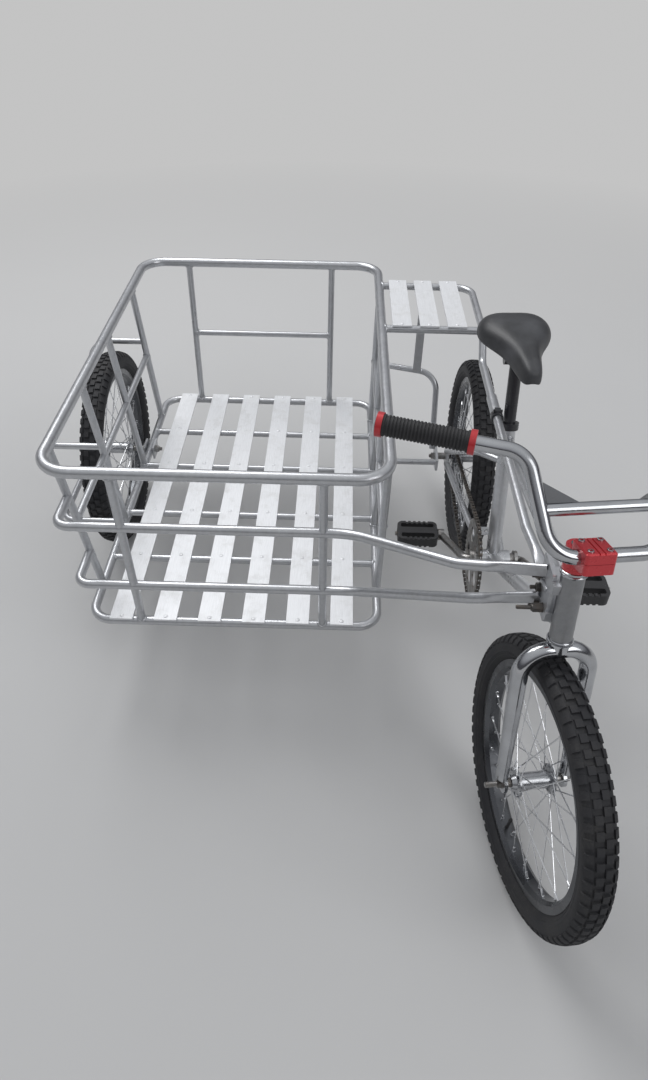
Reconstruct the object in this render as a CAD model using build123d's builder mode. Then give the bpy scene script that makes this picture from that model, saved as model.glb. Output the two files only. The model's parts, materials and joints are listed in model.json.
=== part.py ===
from build123d import *
import os
from math import sin, cos, tan, atan2, degrees, radians, pi, sqrt

os.makedirs("parts", exist_ok=True)

# Cycle rickshaw: a 20 inch pedal bicycle with a welded tube basket on its right side,
# carried by a third wheel outside the basket.
# +Z is up, the vehicle drives towards -Y and its left side is +X.
# The origin is on the ground under the middle of the whole vehicle. Millimetres.

# Places of the three wheels
BIKE_X = 363.0
SIDE_X = -577.0
REAR_Y = 480.0
TYRE_RADIUS = 254.0
AXLE_Z = TYRE_RADIUS

# Pedal axle
BB_Y = 40.0
BB_Z = 285.0

# Tyre, rim, spokes and hub, the same on all three wheels
TYRE_HALF_WIDTH = 27.0
TYRE_SIDES = 36
TREAD_HALF_FLAT = 14.0

# The vehicle's middle, in the coordinates used below
MIDDLE_X = 18.0
MIDDLE_Y = 10.4

# Wheels, further
TREAD_DEPTH = 3.5
SIDE_LOW_SHARE = 0.42
SIDE_HIGH_SHARE = 0.74
LUGS_PER_SIDE = 2
LUG_LENGTH = 14.5
LUG_ROOT = 6.0
TYRE_HEIGHT = 53.0
BEAD_RADIUS = TYRE_RADIUS - TYRE_HEIGHT
RIM_FLANGE_HEIGHT = 8.0
RIM_DEPTH = 11.0
RIM_SHOULDER = 5.0
RIM_INNER_HALF = 9.0
RIM_HALF_WIDTH = 16.0
RIM_WALL = 3.0
RIM_FIT = 0.3
RIM_FLANGE_RADIUS = BEAD_RADIUS + RIM_FLANGE_HEIGHT
RIM_INNER_RADIUS = BEAD_RADIUS - RIM_DEPTH
SPOKE_COUNT = 36
SPOKE_SIZE = 2.4
SPOKE_PITCH_RADIUS = 22.0
SPOKE_LEAN_DEG = 52.0
FLANGE_RADIUS = 26.0
FLANGE_OUT = 32.0
FLANGE_THICK = 3.0
HUB_BARREL_RADIUS = 15.0
HUB_END_RADIUS = 10.0
HUB_HALF_LENGTH = 40.0
AXLE_RADIUS = 5.0
AXLE_FIT = 0.08
RUN_GAP = 0.4

# Steering geometry, turned to the rider's left as it stands
HEAD_ANGLE_DEG = 78.0
FRAME_REACH = 198.0
CROWN_ROOM = 95.0
HEAD_MID_Y = BB_Y - FRAME_REACH - TYRE_RADIUS
HEAD_MID_Z = AXLE_Z + TYRE_RADIUS + CROWN_ROOM
HEAD_LENGTH = 114.0
HEAD_RADIUS = 18.0
FORK_RAKE = 6.0
STEER_REST_DEG = 9.5
CUP_HEIGHT = 9.0
CUP_RADIUS = 21.0

# Fork, stem and handlebar
STEERER_RADIUS = 12.0
CROWN_RADIUS = 16.0
LEG_OUT = 57.0
LEG_BEND = 44.0
LEG_TAPER_FROM = 0.35
LEG_TOP_RADIUS = 14.0
LEG_FOOT_RADIUS = 10.0
DROPOUT_THICK = 6.0
DROPOUT_RADIUS = 16.0
FRONT_HUB_SPACE = 50.0
AXLE_STUB = 30.0
STEM_REACH = 42.0
STEM_RISE = 45.0
STEM_RADIUS = 19.0
STEM_HEIGHT = 40.0
CLAMP_WIDTH = 46.0
CLAMP_LENGTH = 48.0
CLAMP_HALF_HEIGHT = 17.0
CLAMP_SLOT = 0.6
CLAMP_BOLT_RADIUS = 4.5
CLAMP_GROOVE = 2.0
BAR_RADIUS = 11.1
BAR_RISE = 117.0
BAR_SHIFT = 25.0
BAR_LOW_BEND = 50.0
BAR_TOP_BEND = 42.0
CROSSBAR_LEVEL = 0.46
GUSSET_LENGTH = 62.0
GUSSET_HEIGHT = 46.0
GUSSET_THICK = 3.0
GRIP_RADIUS = 16.0
GRIP_LENGTH = 122.0
GRIP_RING_RADIUS = 18.0
GRIP_RING_WIDTH = 9.0
CROSSBAR_RADIUS = 9.5

# Bicycle frame
BB_RADIUS = 21.0
BB_HALF_WIDTH = 35.0
SEAT_ANGLE_DEG = 73.7
SEAT_TUBE_RADIUS = 15.0
SEAT_TUBE_TOP_Z = 572.0
SEAT_POST_RADIUS = 12.7
MAIN_TUBE_RADIUS = 14.0
TOP_TUBE_RADIUS = 12.0
CHAIN_STAY_RADIUS = 8.0
SEAT_STAY_RADIUS = 8.0
STAY_TYRE_ROOM = 6.0
BRIDGE_Y = 142.0
BRIDGE_LENGTH = 24.0
BRIDGE_THICK = 5.0
REAR_HUB_SPACE = 56.2

# Saddle
SADDLE_BASE_Z = 722.0
SADDLE_REAR_Y = 276.0
SADDLE_TURN_DEG = 3.0
SADDLE_CLAMP_RADIUS = 13.0
SADDLE_CLAMP_LENGTH = 50.0
# Cross sections, (distance ahead of the rear edge, width, height, drop of the underside)
SADDLE_SECTIONS = (
    (0.0, 84.0, 20.0, -8.0),
    (24.0, 132.0, 40.0, 0.0),
    (66.0, 152.0, 47.0, 0.0),
    (118.0, 112.0, 44.0, 0.0),
    (166.0, 66.0, 38.0, 0.0),
    (212.0, 46.0, 33.0, 4.0),
    (240.0, 30.0, 20.0, 6.0),
)

# Crank set and chain
CHAIN_LINE = 44.0
RING_TEETH = 44
SPROCKET_TEETH = 18
CHAIN_PITCH = 12.7
TOOTH_HEIGHT = 5.0
RING_TIP_RADIUS = CHAIN_PITCH * RING_TEETH / (2 * pi)
SPROCKET_TIP_RADIUS = CHAIN_PITCH * SPROCKET_TEETH / (2 * pi)
CHAIN_CLEAR = 0.8
RING_THICK = 3.0
RING_WINDOWS = 5
RING_WINDOW_RADIUS = 19.0
RING_WINDOW_PLACE = 52.0
CHAIN_CORE_WIDTH = 5.0
CHAIN_CORE_HEIGHT = 6.5
LINK_LENGTH = 17.0
LINK_HEIGHT = 8.5
LINK_WIDTH = 8.4
CRANK_LENGTH = 165.0
CRANK_DEG = 22.5
CRANK_RADIUS = 9.0
CRANK_ROOT = 62.0
CRANK_OUT = 94.0
CRANK_EYE_RADIUS = 14.0
CRANK_EYE_THICK = 14.0
RING_BOSS_RADIUS = 20.0
RING_BOSS_THICK = 7.0
SPINDLE_RADIUS = 8.0
PEDAL_LENGTH = 96.0
PEDAL_GAP = 2.0
PEDAL_WALL = 8.0
PEDAL_CORNER = 14.0
PEDAL_BARREL = 11.0
PEDAL_NOTCHES = 5
PEDAL_NOTCH = 3.0
PEDAL_DEPTH = 66.0
PEDAL_HEIGHT = 26.0
PEDAL_PIN_RADIUS = 5.0

# Basket
TOP_Z = 657.0
TOP_LEFT = -505.0
TOP_RIGHT = 105.0
TOP_FRONT = -181.0
TOP_REAR = 755.0
TOP_RADIUS = 11.0
TOP_CORNER = 58.0
FLOOR_Z = AXLE_Z
FLOOR_LEFT = -491.0
FLOOR_RIGHT = 105.0
FLOOR_FRONT = -145.0
FLOOR_REAR = 740.0
FLOOR_RADIUS = 9.5
FLOOR_CORNER = 42.0
POST_RADIUS = 8.0
RAIL_RADIUS = 7.5
MID_RAIL_Z = 463.0
FRONT_RAIL_Z = 527.0
FRONT_LOW_Z = 366.0
CROSS_RADIUS = 8.0
CROSS_PLACES = (562.0, 400.0, 205.0, 45.0)
SLAT_WIDTH = 47.0
SLAT_THICK = 4.0
SLAT_FIRST_X = -425.0
SLAT_PITCH = 91.0
SLAT_COUNT = 6

# Wheel carriers outside the third wheel, and the two link arms to the rear axle
PLATE_THICK = 6.0
PLATE_RADIUS = 24.0
STRUT_RADIUS = 7.5
STRUT_BEND = 55.0
STRUT_FRONT_Z = 487.0
STRUT_DIP = 3.0
STRUT_REAR_Z = AXLE_Z + TYRE_RADIUS - STRUT_DIP
OUTRIGGER_Y = 172.0
SIDE_HUB_SPACE = 50.0
NUT_RADIUS = 9.0
NUT_LENGTH = 9.0
LINK_SPACE = 84.0
LINK_HIGH_Z = 455.0
LINK_HIGH_Y = 560.0
LINK_LOW_Y = 450.0

# Small carrier between basket and bicycle
CARRIER_RIGHT_X = 105.0
CARRIER_OUT_X = 333.0
CARRIER_REAR = 630.0
CARRIER_FRONT = 393.0
CARRIER_RADIUS = 8.5
CARRIER_CORNER = 40.0
CARRIER_SLAT_WIDTH = 43.0
CARRIER_SLAT_XS = (150.0, 212.0, 274.0)
STAY_Z = 604.0
STAY_DROP = 50.0
STAY_BEND = 28.0
STAY_BEND_Y = -230.0
STAY_END_UP = 9.0
SLEEVE_Y = 118.0
SLEEVE_LENGTH = 74.0
SLEEVE_WALL = 2.5

# Arms from the basket to the head tube
ARM_RADIUS = 9.5
ARM_CORNER = 24.0
ARM_BEND = 100.0
FRONT_RAIL_END = 40.0
UPPER_KNEE = (-151.0, 111.0, -21.0)
LOWER_KNEE = (-122.0, 101.0, -90.0)
UPPER_ARM_KNEE = (BIKE_X + UPPER_KNEE[0], HEAD_MID_Y + UPPER_KNEE[1], HEAD_MID_Z + UPPER_KNEE[2])
LOWER_ARM_KNEE = (BIKE_X + LOWER_KNEE[0], HEAD_MID_Y + LOWER_KNEE[1], HEAD_MID_Z + LOWER_KNEE[2])
ARM_BLADE_WIDTH = 25.0
ARM_BLADE_THICK = 8.0
ARM_TAPER = 45.0
ARM_BLADE = 55.0
BRACKET_GAP = 28.0
BRACKET_PLATE = 6.0
BRACKET_BLOCK = 18.0
ARM_BACK = 44.0
ARM_HIGH_UP = 31.0
ARM_LOW_DOWN = 26.0


def tube(points, radius, bend=None):
    """Round bar along a path of straight runs, each corner a tangent arc of radius bend."""
    with BuildPart() as run:
        with BuildLine() as path:
            if len(points) == 2:
                Line(*points)
            elif isinstance(bend, (list, tuple)):
                FilletPolyline(*points, radius=bend)
            else:
                FilletPolyline(*points, radius=[bend] * (len(points) - 2))
        with BuildSketch(Plane(origin=path.line @ 0, z_dir=path.line % 0)):
            Circle(radius)
        sweep()
    return run.part


def cone(start, end, start_radius, end_radius):
    """Straight tapered bar between two points."""
    a = Vector(*start)
    b = Vector(*end)
    base = Plane(origin=a, z_dir=b - a)
    with BuildPart() as run:
        with BuildSketch(base):
            Circle(start_radius)
        with BuildSketch(base.offset((b - a).length)):
            Circle(end_radius)
        loft()
    return run.part


def disc(centre, axis, radius, thick):
    """Plain round plate that grows from centre along axis."""
    with BuildPart() as run:
        with BuildSketch(Plane(origin=centre, z_dir=axis)):
            Circle(radius)
        extrude(amount=thick)
    return run.part


def bladed(points, radius, bend, thin_way):
    """Round bar whose last stretch is pressed flat, thin along thin_way."""
    end = Vector(*points[-1])
    way = (end - Vector(*points[-2])).normalized()
    pressed = end - way * (ARM_TAPER + ARM_BLADE)
    bar = tube(tuple(points[:-1]) + (tuple(pressed),), radius, bend)
    thin = (thin_way - way * thin_way.dot(way)).normalized()
    press = Plane(origin=pressed, x_dir=way.cross(thin), z_dir=way)
    with BuildPart() as flat:
        with BuildSketch(press):
            Circle(radius)
        with BuildSketch(press.offset(ARM_TAPER)):
            RectangleRounded(ARM_BLADE_WIDTH, ARM_BLADE_THICK, 0.4 * ARM_BLADE_THICK)
        loft()
        with BuildSketch(press.offset(ARM_TAPER)):
            RectangleRounded(ARM_BLADE_WIDTH, ARM_BLADE_THICK, 0.4 * ARM_BLADE_THICK)
        extrude(amount=ARM_BLADE)
    with BuildPart() as whole:
        add(bar)
        add(flat.part)
    return whole.part


def turned(outline, centre, axis_dir, radial_dir):
    """Solid of revolution from (along axis, radius) pairs about a line through centre."""
    side = Vector(*axis_dir).cross(Vector(*radial_dir))
    with BuildPart() as run:
        with BuildSketch(Plane(origin=centre, x_dir=axis_dir, z_dir=side)):
            with BuildLine():
                Polyline(*outline, close=True)
            make_face()
        revolve(axis=Axis(centre, axis_dir))
    return run.part


def finish(piece, name):
    """Bring a finished piece over the vehicle's middle, label it and write its STEP file."""
    placed = piece.part.moved(Location((-MIDDLE_X, -MIDDLE_Y, 0)))
    placed.label = name
    export_step(placed, "parts/" + name + ".step")


# The steering axis, and the turn of everything on it
steer_up = Vector(0, cos(radians(HEAD_ANGLE_DEG)), sin(radians(HEAD_ANGLE_DEG)))
steer_base = Vector(BIKE_X, HEAD_MID_Y, HEAD_MID_Z)


def axis_y(z):
    """Y of the steering axis at height z."""
    return HEAD_MID_Y + (z - HEAD_MID_Z) / tan(radians(HEAD_ANGLE_DEG))


def spin(vector, degrees_turn):
    """Turn a free vector about the steering direction."""
    t = radians(degrees_turn)
    k = steer_up
    return vector * cos(t) + k.cross(vector) * sin(t) + k * (k.dot(vector) * (1 - cos(t)))


def steered(x, y, z):
    """World place of a point given for the straight-ahead steering."""
    return steer_base + spin(Vector(x, y, z) - steer_base, STEER_REST_DEG)


def steered_dir(x, y, z):
    """World direction of a direction given for the straight-ahead steering."""
    return spin(Vector(x, y, z), STEER_REST_DEG)


FRONT_Y = axis_y(AXLE_Z) - FORK_RAKE / sin(radians(HEAD_ANGLE_DEG))
front_axle = steered_dir(1, 0, 0)
front_forward = steered_dir(0, -1, 0)
# The turned wheel leans a little, so its centre is set by what touches the ground
front_reach = TREAD_HALF_FLAT * abs(front_axle.Z) + TYRE_RADIUS * sqrt(1 - front_axle.Z ** 2)
front_turned = steered(BIKE_X, FRONT_Y, AXLE_Z)
front_centre = Vector(front_turned.X, front_turned.Y, front_reach)

# name, centre, axle direction, forward direction
WHEELS = (
    ("front", front_centre, front_axle, front_forward),
    ("rear", Vector(BIKE_X, REAR_Y, AXLE_Z), Vector(1, 0, 0), Vector(0, -1, 0)),
    ("side", Vector(SIDE_X, REAR_Y, AXLE_Z), Vector(1, 0, 0), Vector(0, -1, 0)),
)

# Levels of the tyre's side, and half sections as (along the axle, radius)
seat_half = RIM_HALF_WIDTH - RIM_WALL
tread_base = TYRE_RADIUS - TREAD_DEPTH
side_height = tread_base - RIM_FLANGE_RADIUS
side_low = RIM_FLANGE_RADIUS + side_height * SIDE_LOW_SHARE
side_high = RIM_FLANGE_RADIUS + side_height * SIDE_HIGH_SHARE
rim_half = (
    (RIM_INNER_HALF, RIM_INNER_RADIUS),
    (RIM_HALF_WIDTH, BEAD_RADIUS - RIM_SHOULDER),
    (RIM_HALF_WIDTH, RIM_FLANGE_RADIUS),
    (seat_half, RIM_FLANGE_RADIUS),
    (seat_half, BEAD_RADIUS - RIM_FIT),
)
hub_half = (
    (HUB_HALF_LENGTH, AXLE_RADIUS + AXLE_FIT),
    (HUB_HALF_LENGTH, HUB_END_RADIUS),
    (FLANGE_OUT, HUB_END_RADIUS + 3.0),
    (FLANGE_OUT, FLANGE_RADIUS),
    (FLANGE_OUT - FLANGE_THICK, FLANGE_RADIUS),
    (FLANGE_OUT - FLANGE_THICK - 3.0, HUB_BARREL_RADIUS),
)


def toothed(centre, axis, tip_radius, teeth):
    """Flat toothed wheel, every tooth narrowing towards its tip."""
    step = 360.0 / teeth
    outline = []
    for index in range(teeth):
        for share, radius in ((0.0, tip_radius - TOOTH_HEIGHT), (0.3, tip_radius - TOOTH_HEIGHT),
                              (0.55, tip_radius), (0.75, tip_radius)):
            angle = radians((index + share) * step)
            outline.append((radius * cos(angle), radius * sin(angle)))
    with BuildPart() as wheel:
        with BuildSketch(Plane(origin=centre, z_dir=axis)):
            with BuildLine():
                Polyline(*outline, close=True)
            make_face()
        extrude(amount=RING_THICK)
    return wheel.part


def both_sides(half):
    """Close a half section with its mirror image."""
    return list(half) + [(-a, r) for a, r in reversed(half)]


def ring_of_sides(rows):
    """Loft through regular polygons, each a (place along the axle, radius over the corners) row."""
    with BuildPart() as stack:
        for along, radius in rows:
            with BuildSketch(Plane.XY.offset(along)):
                RegularPolygon(radius, TYRE_SIDES)
        loft(ruled=True)
    return stack.part


# The tyre about its own middle: a ring of flat sides, with transverse lugs on every side
to_corner = 1 / cos(pi / TYRE_SIDES)
lug_low = tread_base - LUG_ROOT
lug_top = sqrt(TYRE_RADIUS ** 2 - (LUG_LENGTH / 2) ** 2)
lug_count = TYRE_SIDES * LUGS_PER_SIDE
seat_corner = (RIM_FLANGE_RADIUS + 2 * RIM_FIT) * to_corner
side_slope = (side_low - seat_corner) / (TYRE_HALF_WIDTH - seat_half)
carcass = ring_of_sides(((-TYRE_HALF_WIDTH, side_high), (-TREAD_HALF_FLAT, tread_base),
                         (TREAD_HALF_FLAT, tread_base), (TYRE_HALF_WIDTH, side_high)))
side_cuts = [ring_of_sides(((side * seat_half, seat_corner), (side * (TYRE_HALF_WIDTH + 1), side_low + side_slope)))
             for side in (-1, 1)]
with BuildPart() as tyre_form:
    add(carcass)
    with PolarLocations((lug_low + lug_top) / 2, lug_count, start_angle=180.0 / lug_count):
        Box(lug_top - lug_low, LUG_LENGTH, 2 * TREAD_HALF_FLAT)
    with BuildSketch(Plane.XY.offset(-seat_half)):
        RegularPolygon(BEAD_RADIUS * to_corner, TYRE_SIDES)
    extrude(amount=2 * seat_half, mode=Mode.SUBTRACT)
    add(side_cuts, mode=Mode.SUBTRACT)


def spoke_set(centre, axle, forward):
    """Thirty-six crossed spokes, each from a hub flange to the rim."""
    up = axle.cross(forward)
    bars = []
    for index in range(SPOKE_COUNT):
        side = 1 if index % 2 else -1
        pair = index // 2
        lean = SPOKE_LEAN_DEG if pair % 2 else -SPOKE_LEAN_DEG
        at_rim = 360.0 * index / SPOKE_COUNT
        at_hub = radians(at_rim + lean)
        head = FLANGE_OUT + 1.6 if pair % 2 else FLANGE_OUT - FLANGE_THICK - 1.6
        out = forward * cos(at_hub) + up * sin(at_hub)
        start = centre + axle * (side * head) + out * SPOKE_PITCH_RADIUS
        far = forward * cos(radians(at_rim)) + up * sin(radians(at_rim))
        end = centre + axle * (side * 4.0) + far * (RIM_INNER_RADIUS - 0.7)
        with BuildPart() as bar:
            with BuildSketch(Plane(origin=start, z_dir=end - start)):
                Rectangle(SPOKE_SIZE, SPOKE_SIZE)
            extrude(amount=(end - start).length)
        bars.append(bar.part)
    return bars


for wheel_name, centre, axle, forward in WHEELS:
    wheel_plane = Plane(origin=centre, x_dir=forward, z_dir=axle)
    tyre_solid = tyre_form.part.moved(wheel_plane.location)
    rim_solid = turned(both_sides(rim_half), centre, axle, forward)
    hub_solid = turned(both_sides(hub_half), centre, axle, forward)
    bars = spoke_set(centre, axle, forward)
    with BuildPart() as tyre:
        add(tyre_solid)
    finish(tyre, wheel_name + "_tyre")
    with BuildPart() as rim:
        add(rim_solid)
    finish(rim, wheel_name + "_rim")
    with BuildPart() as hub:
        add(hub_solid)
        if wheel_name == "rear":
            # the sprocket, screwed on the right end of the hub
            add(toothed(centre - axle * (CHAIN_LINE - RING_THICK / 2), -axle, SPROCKET_TIP_RADIUS, SPROCKET_TEETH))
            add(disc(centre - axle * (FLANGE_OUT - 1), -axle, 17.0, CHAIN_LINE - FLANGE_OUT + 4.0))
            add(disc(centre - axle * (FLANGE_OUT - 4), -axle, AXLE_RADIUS + AXLE_FIT, 30.0), mode=Mode.SUBTRACT)
    finish(hub, wheel_name + "_hub")
    with BuildPart() as spokes:
        add(bars)
        add(hub_solid, mode=Mode.SUBTRACT)
    finish(spokes, wheel_name + "_spokes")

# Fork: steerer, crown and two tapered legs with flat dropouts
head_low = steer_base - steer_up * (HEAD_LENGTH / 2)
head_high = steer_base + steer_up * (HEAD_LENGTH / 2)
crown_top = head_low - steer_up * (CUP_HEIGHT + RUN_GAP)
stem_low = head_high + steer_up * (CUP_HEIGHT + RUN_GAP)
steerer = disc(crown_top - steer_up * LEG_TOP_RADIUS, steer_up, STEERER_RADIUS,
               LEG_TOP_RADIUS + RUN_GAP + CUP_HEIGHT + HEAD_LENGTH + CUP_HEIGHT + RUN_GAP + STEM_HEIGHT + 2.0)
crown_race = disc(crown_top - steer_up * LEG_TOP_RADIUS, steer_up, CROWN_RADIUS, LEG_TOP_RADIUS)
crown_mid = crown_top - steer_up * (LEG_TOP_RADIUS + 0.5)
shoulders = [crown_mid + front_axle * (side * LEG_OUT) for side in (-1, 1)]
feet = [front_centre + front_axle * (side * LEG_OUT) for side in (-1, 1)]
ankles = [top + (foot - top) * LEG_TAPER_FROM for top, foot in zip(shoulders, feet)]
yoke = tube((ankles[0], shoulders[0], shoulders[1], ankles[1]), LEG_TOP_RADIUS, LEG_BEND)
leg_ends = [cone(ankle, foot, LEG_TOP_RADIUS, LEG_FOOT_RADIUS) for ankle, foot in zip(ankles, feet)]
with BuildPart() as fork:
    add(steerer)
    add(crown_race)
    add(yoke)
    add(leg_ends)
    for side in (-1, 1):
        inner = front_centre + front_axle * (side * FRONT_HUB_SPACE)
        outer = inner + front_axle * (side * DROPOUT_THICK)
        add(disc(inner, -front_axle * side, DROPOUT_RADIUS, DROPOUT_RADIUS), mode=Mode.SUBTRACT)
        add(disc(outer, front_axle * side, DROPOUT_RADIUS, DROPOUT_RADIUS), mode=Mode.SUBTRACT)
        add(disc(inner, front_axle * side, DROPOUT_RADIUS, DROPOUT_THICK))
        add(disc(inner - front_axle * side, front_axle * side, AXLE_RADIUS + AXLE_FIT, DROPOUT_THICK + 2.0),
            mode=Mode.SUBTRACT)
finish(fork, "fork")


def axle_bar(centre, axle, ends, collars):
    """Axle rod with collars and nuts, each collar a (from, to, radius) row along it."""
    low, high = ends
    with BuildPart() as bar:
        add(disc(centre + axle * low, axle, AXLE_RADIUS, high - low))
        for start, stop, radius in collars:
            add(disc(centre + axle * start, axle, radius, stop - start))
    return bar.part


hub_end = HUB_HALF_LENGTH + RUN_GAP
front_out = FRONT_HUB_SPACE + DROPOUT_THICK
front_axle_solid = axle_bar(front_centre, front_axle, (-front_out - AXLE_STUB, front_out + AXLE_STUB), (
    (hub_end, FRONT_HUB_SPACE, 8.0),
    (-FRONT_HUB_SPACE, -hub_end, 8.0),
    (front_out, front_out + NUT_LENGTH, NUT_RADIUS),
    (-front_out - NUT_LENGTH, -front_out, NUT_RADIUS)))
with BuildPart() as front_axle_piece:
    add(front_axle_solid)
finish(front_axle_piece, "front_axle")

# Headset cups and the head tube
with BuildPart() as head_tube:
    with BuildSketch(Plane(origin=head_low, z_dir=steer_up)):
        Circle(HEAD_RADIUS)
        Circle(STEERER_RADIUS + 2.0, mode=Mode.SUBTRACT)
    extrude(amount=HEAD_LENGTH)
with BuildPart() as headset_cups:
    for start in (head_low - steer_up * CUP_HEIGHT, head_high):
        with BuildSketch(Plane(origin=start, z_dir=steer_up)):
            Circle(CUP_RADIUS)
            Circle(STEERER_RADIUS + AXLE_FIT, mode=Mode.SUBTRACT)
        extrude(amount=CUP_HEIGHT)
finish(headset_cups, "headset_cups")

# Stem: a sleeve on the steerer, and a clamp whose cap is held by four socket bolts
neutral_reach = Vector(1, 0, 0).cross(steer_up)
stem_reach_dir = spin(neutral_reach, STEER_REST_DEG)
bar_centre = stem_low + steer_up * STEM_RISE + stem_reach_dir * STEM_REACH
clamp_plane = Plane(origin=bar_centre, x_dir=front_axle, z_dir=steer_up)
web_height = STEM_RISE - STEM_HEIGHT / 4
bar_bore = disc(bar_centre - front_axle * CLAMP_WIDTH, front_axle, BAR_RADIUS + AXLE_FIT, 2 * CLAMP_WIDTH)
jaw_height = CLAMP_HALF_HEIGHT - CLAMP_SLOT / 2
bolt_across = CLAMP_WIDTH - 4 * CLAMP_BOLT_RADIUS
bolt_along = CLAMP_LENGTH - 4 * CLAMP_BOLT_RADIUS
with BuildPart() as stem_body:
    add(disc(stem_low, steer_up, STEM_RADIUS, STEM_HEIGHT))
    with BuildSketch(clamp_plane.offset(-CLAMP_SLOT / 2)):
        RectangleRounded(CLAMP_WIDTH, CLAMP_LENGTH, CLAMP_BOLT_RADIUS)
    extrude(amount=-jaw_height)
    with BuildSketch(clamp_plane.offset(-CLAMP_HALF_HEIGHT / 2)):
        with Locations((0, STEM_REACH / 2)):
            Rectangle(1.7 * STEM_RADIUS, STEM_REACH)
    extrude(amount=CLAMP_HALF_HEIGHT - web_height)
    add(disc(stem_low - steer_up, steer_up, STEERER_RADIUS + AXLE_FIT, STEM_HEIGHT + 6.0), mode=Mode.SUBTRACT)
    add(bar_bore, mode=Mode.SUBTRACT)
with BuildPart() as stem_cap:
    with BuildSketch(clamp_plane.offset(CLAMP_SLOT / 2)):
        RectangleRounded(CLAMP_WIDTH, CLAMP_LENGTH, CLAMP_BOLT_RADIUS)
    extrude(amount=jaw_height)
    chamfer(faces().sort_by(Axis(bar_centre, steer_up))[-1].edges(), length=2.0)
    add(bar_bore, mode=Mode.SUBTRACT)
    with BuildSketch(clamp_plane.offset(CLAMP_HALF_HEIGHT)):
        with GridLocations(4 * CLAMP_GROOVE, 0, 2, 1):
            Rectangle(CLAMP_GROOVE, 2 * CLAMP_LENGTH)
    extrude(amount=-CLAMP_GROOVE, mode=Mode.SUBTRACT)
    with BuildSketch(clamp_plane.offset(CLAMP_HALF_HEIGHT - 1.0)):
        with GridLocations(bolt_across, bolt_along, 2, 2):
            Circle(CLAMP_BOLT_RADIUS)
    extrude(amount=3.0)
    with BuildSketch(clamp_plane.offset(CLAMP_HALF_HEIGHT + 2.0)):
        with GridLocations(bolt_across, bolt_along, 2, 2):
            RegularPolygon(CLAMP_BOLT_RADIUS / 2, 6)
    extrude(amount=-2.5, mode=Mode.SUBTRACT)
with BuildPart() as stem:
    add(stem_body.part)
    add(stem_cap.part)
finish(stem, "stem")

# Handlebar, given straight ahead as (out, back, up) from the middle of its lower run
BAR_POINTS = (
    (309.0, 174.0, BAR_RISE - 1.0),
    (117.0, 88.0, BAR_RISE),
    (87.0, 0.0, 0.0),
)
neutral_clamp = stem_low + steer_up * STEM_RISE + neutral_reach * STEM_REACH + Vector(BAR_SHIFT, 0, 0)


def on_bar(out, back, up):
    """World place of a handlebar point given straight ahead from the middle of the bar."""
    return steered(neutral_clamp.X + out, neutral_clamp.Y + back, neutral_clamp.Z + up)


left_half = [on_bar(*row) for row in BAR_POINTS]
right_half = [on_bar(-row[0], row[1], row[2]) for row in BAR_POINTS]
bar_path = left_half + right_half[::-1]
bar_solid = tube(bar_path, BAR_RADIUS, (BAR_TOP_BEND, BAR_LOW_BEND, BAR_LOW_BEND, BAR_TOP_BEND))


def riser_point(side, share):
    """Point on a riser of the handlebar, share 0 at its foot and 1 at its top."""
    top = BAR_POINTS[1]
    low = BAR_POINTS[2]
    row = [low[i] + (top[i] - low[i]) * share for i in range(3)]
    return on_bar(side * row[0], row[1], row[2])


crossbar_solid = tube((riser_point(-1, CROSSBAR_LEVEL), riser_point(1, CROSSBAR_LEVEL)), CROSSBAR_RADIUS)
gussets = []
for side in (-1, 1):
    corner = riser_point(side, CROSSBAR_LEVEL)
    inward = (riser_point(-side, CROSSBAR_LEVEL) - corner).normalized()
    rise = riser_point(side, 1.0) - corner
    above = rise.normalized() * GUSSET_HEIGHT
    gusset_plane = Plane(origin=corner, x_dir=inward, z_dir=inward.cross(rise))
    high = gusset_plane.to_local_coords(corner + above)
    with BuildPart() as gusset:
        with BuildSketch(gusset_plane):
            with BuildLine():
                Polyline((0, -CROSSBAR_RADIUS), (GUSSET_LENGTH, -CROSSBAR_RADIUS / 2),
                         (GUSSET_LENGTH, CROSSBAR_RADIUS / 2), (high.X, high.Y), close=True)
            make_face()
        extrude(amount=GUSSET_THICK / 2, both=True)
    gussets.append(gusset.part)
with BuildPart() as handlebar:
    add(bar_solid)
    add(crossbar_solid)
    add(gussets)
finish(handlebar, "handlebar")

grip_solids = []
ring_solids = []
for half in (left_half, right_half):
    end = half[0]
    along = (half[1] - half[0]).normalized()
    start = end + along * GRIP_RING_WIDTH
    with BuildPart() as grip_one:
        with BuildSketch(Plane(origin=start, z_dir=along)):
            Circle(GRIP_RADIUS)
            Circle(BAR_RADIUS + AXLE_FIT, mode=Mode.SUBTRACT)
        extrude(amount=GRIP_LENGTH)
    grip_solids.append(grip_one.part)
    for place in (0.0, GRIP_RING_WIDTH + GRIP_LENGTH):
        with BuildPart() as ring_one:
            with BuildSketch(Plane(origin=end + along * place, z_dir=along)):
                Circle(GRIP_RING_RADIUS)
                Circle(BAR_RADIUS + AXLE_FIT, mode=Mode.SUBTRACT)
            extrude(amount=GRIP_RING_WIDTH)
        ring_solids.append(ring_one.part)
with BuildPart() as grips:
    add(grip_solids)
finish(grips, "grips")
with BuildPart() as grip_rings:
    add(ring_solids)
finish(grip_rings, "grip_rings")

# Bicycle frame, in the order in which each tube is coped against those before it
seat_dir = Vector(0, cos(radians(SEAT_ANGLE_DEG)), sin(radians(SEAT_ANGLE_DEG)))
bb_centre = Vector(BIKE_X, BB_Y, BB_Z)


def seat_point(z):
    """Point on the seat tube's axis at height z."""
    return Vector(BIKE_X, BB_Y + (z - BB_Z) / tan(radians(SEAT_ANGLE_DEG)), z)


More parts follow.
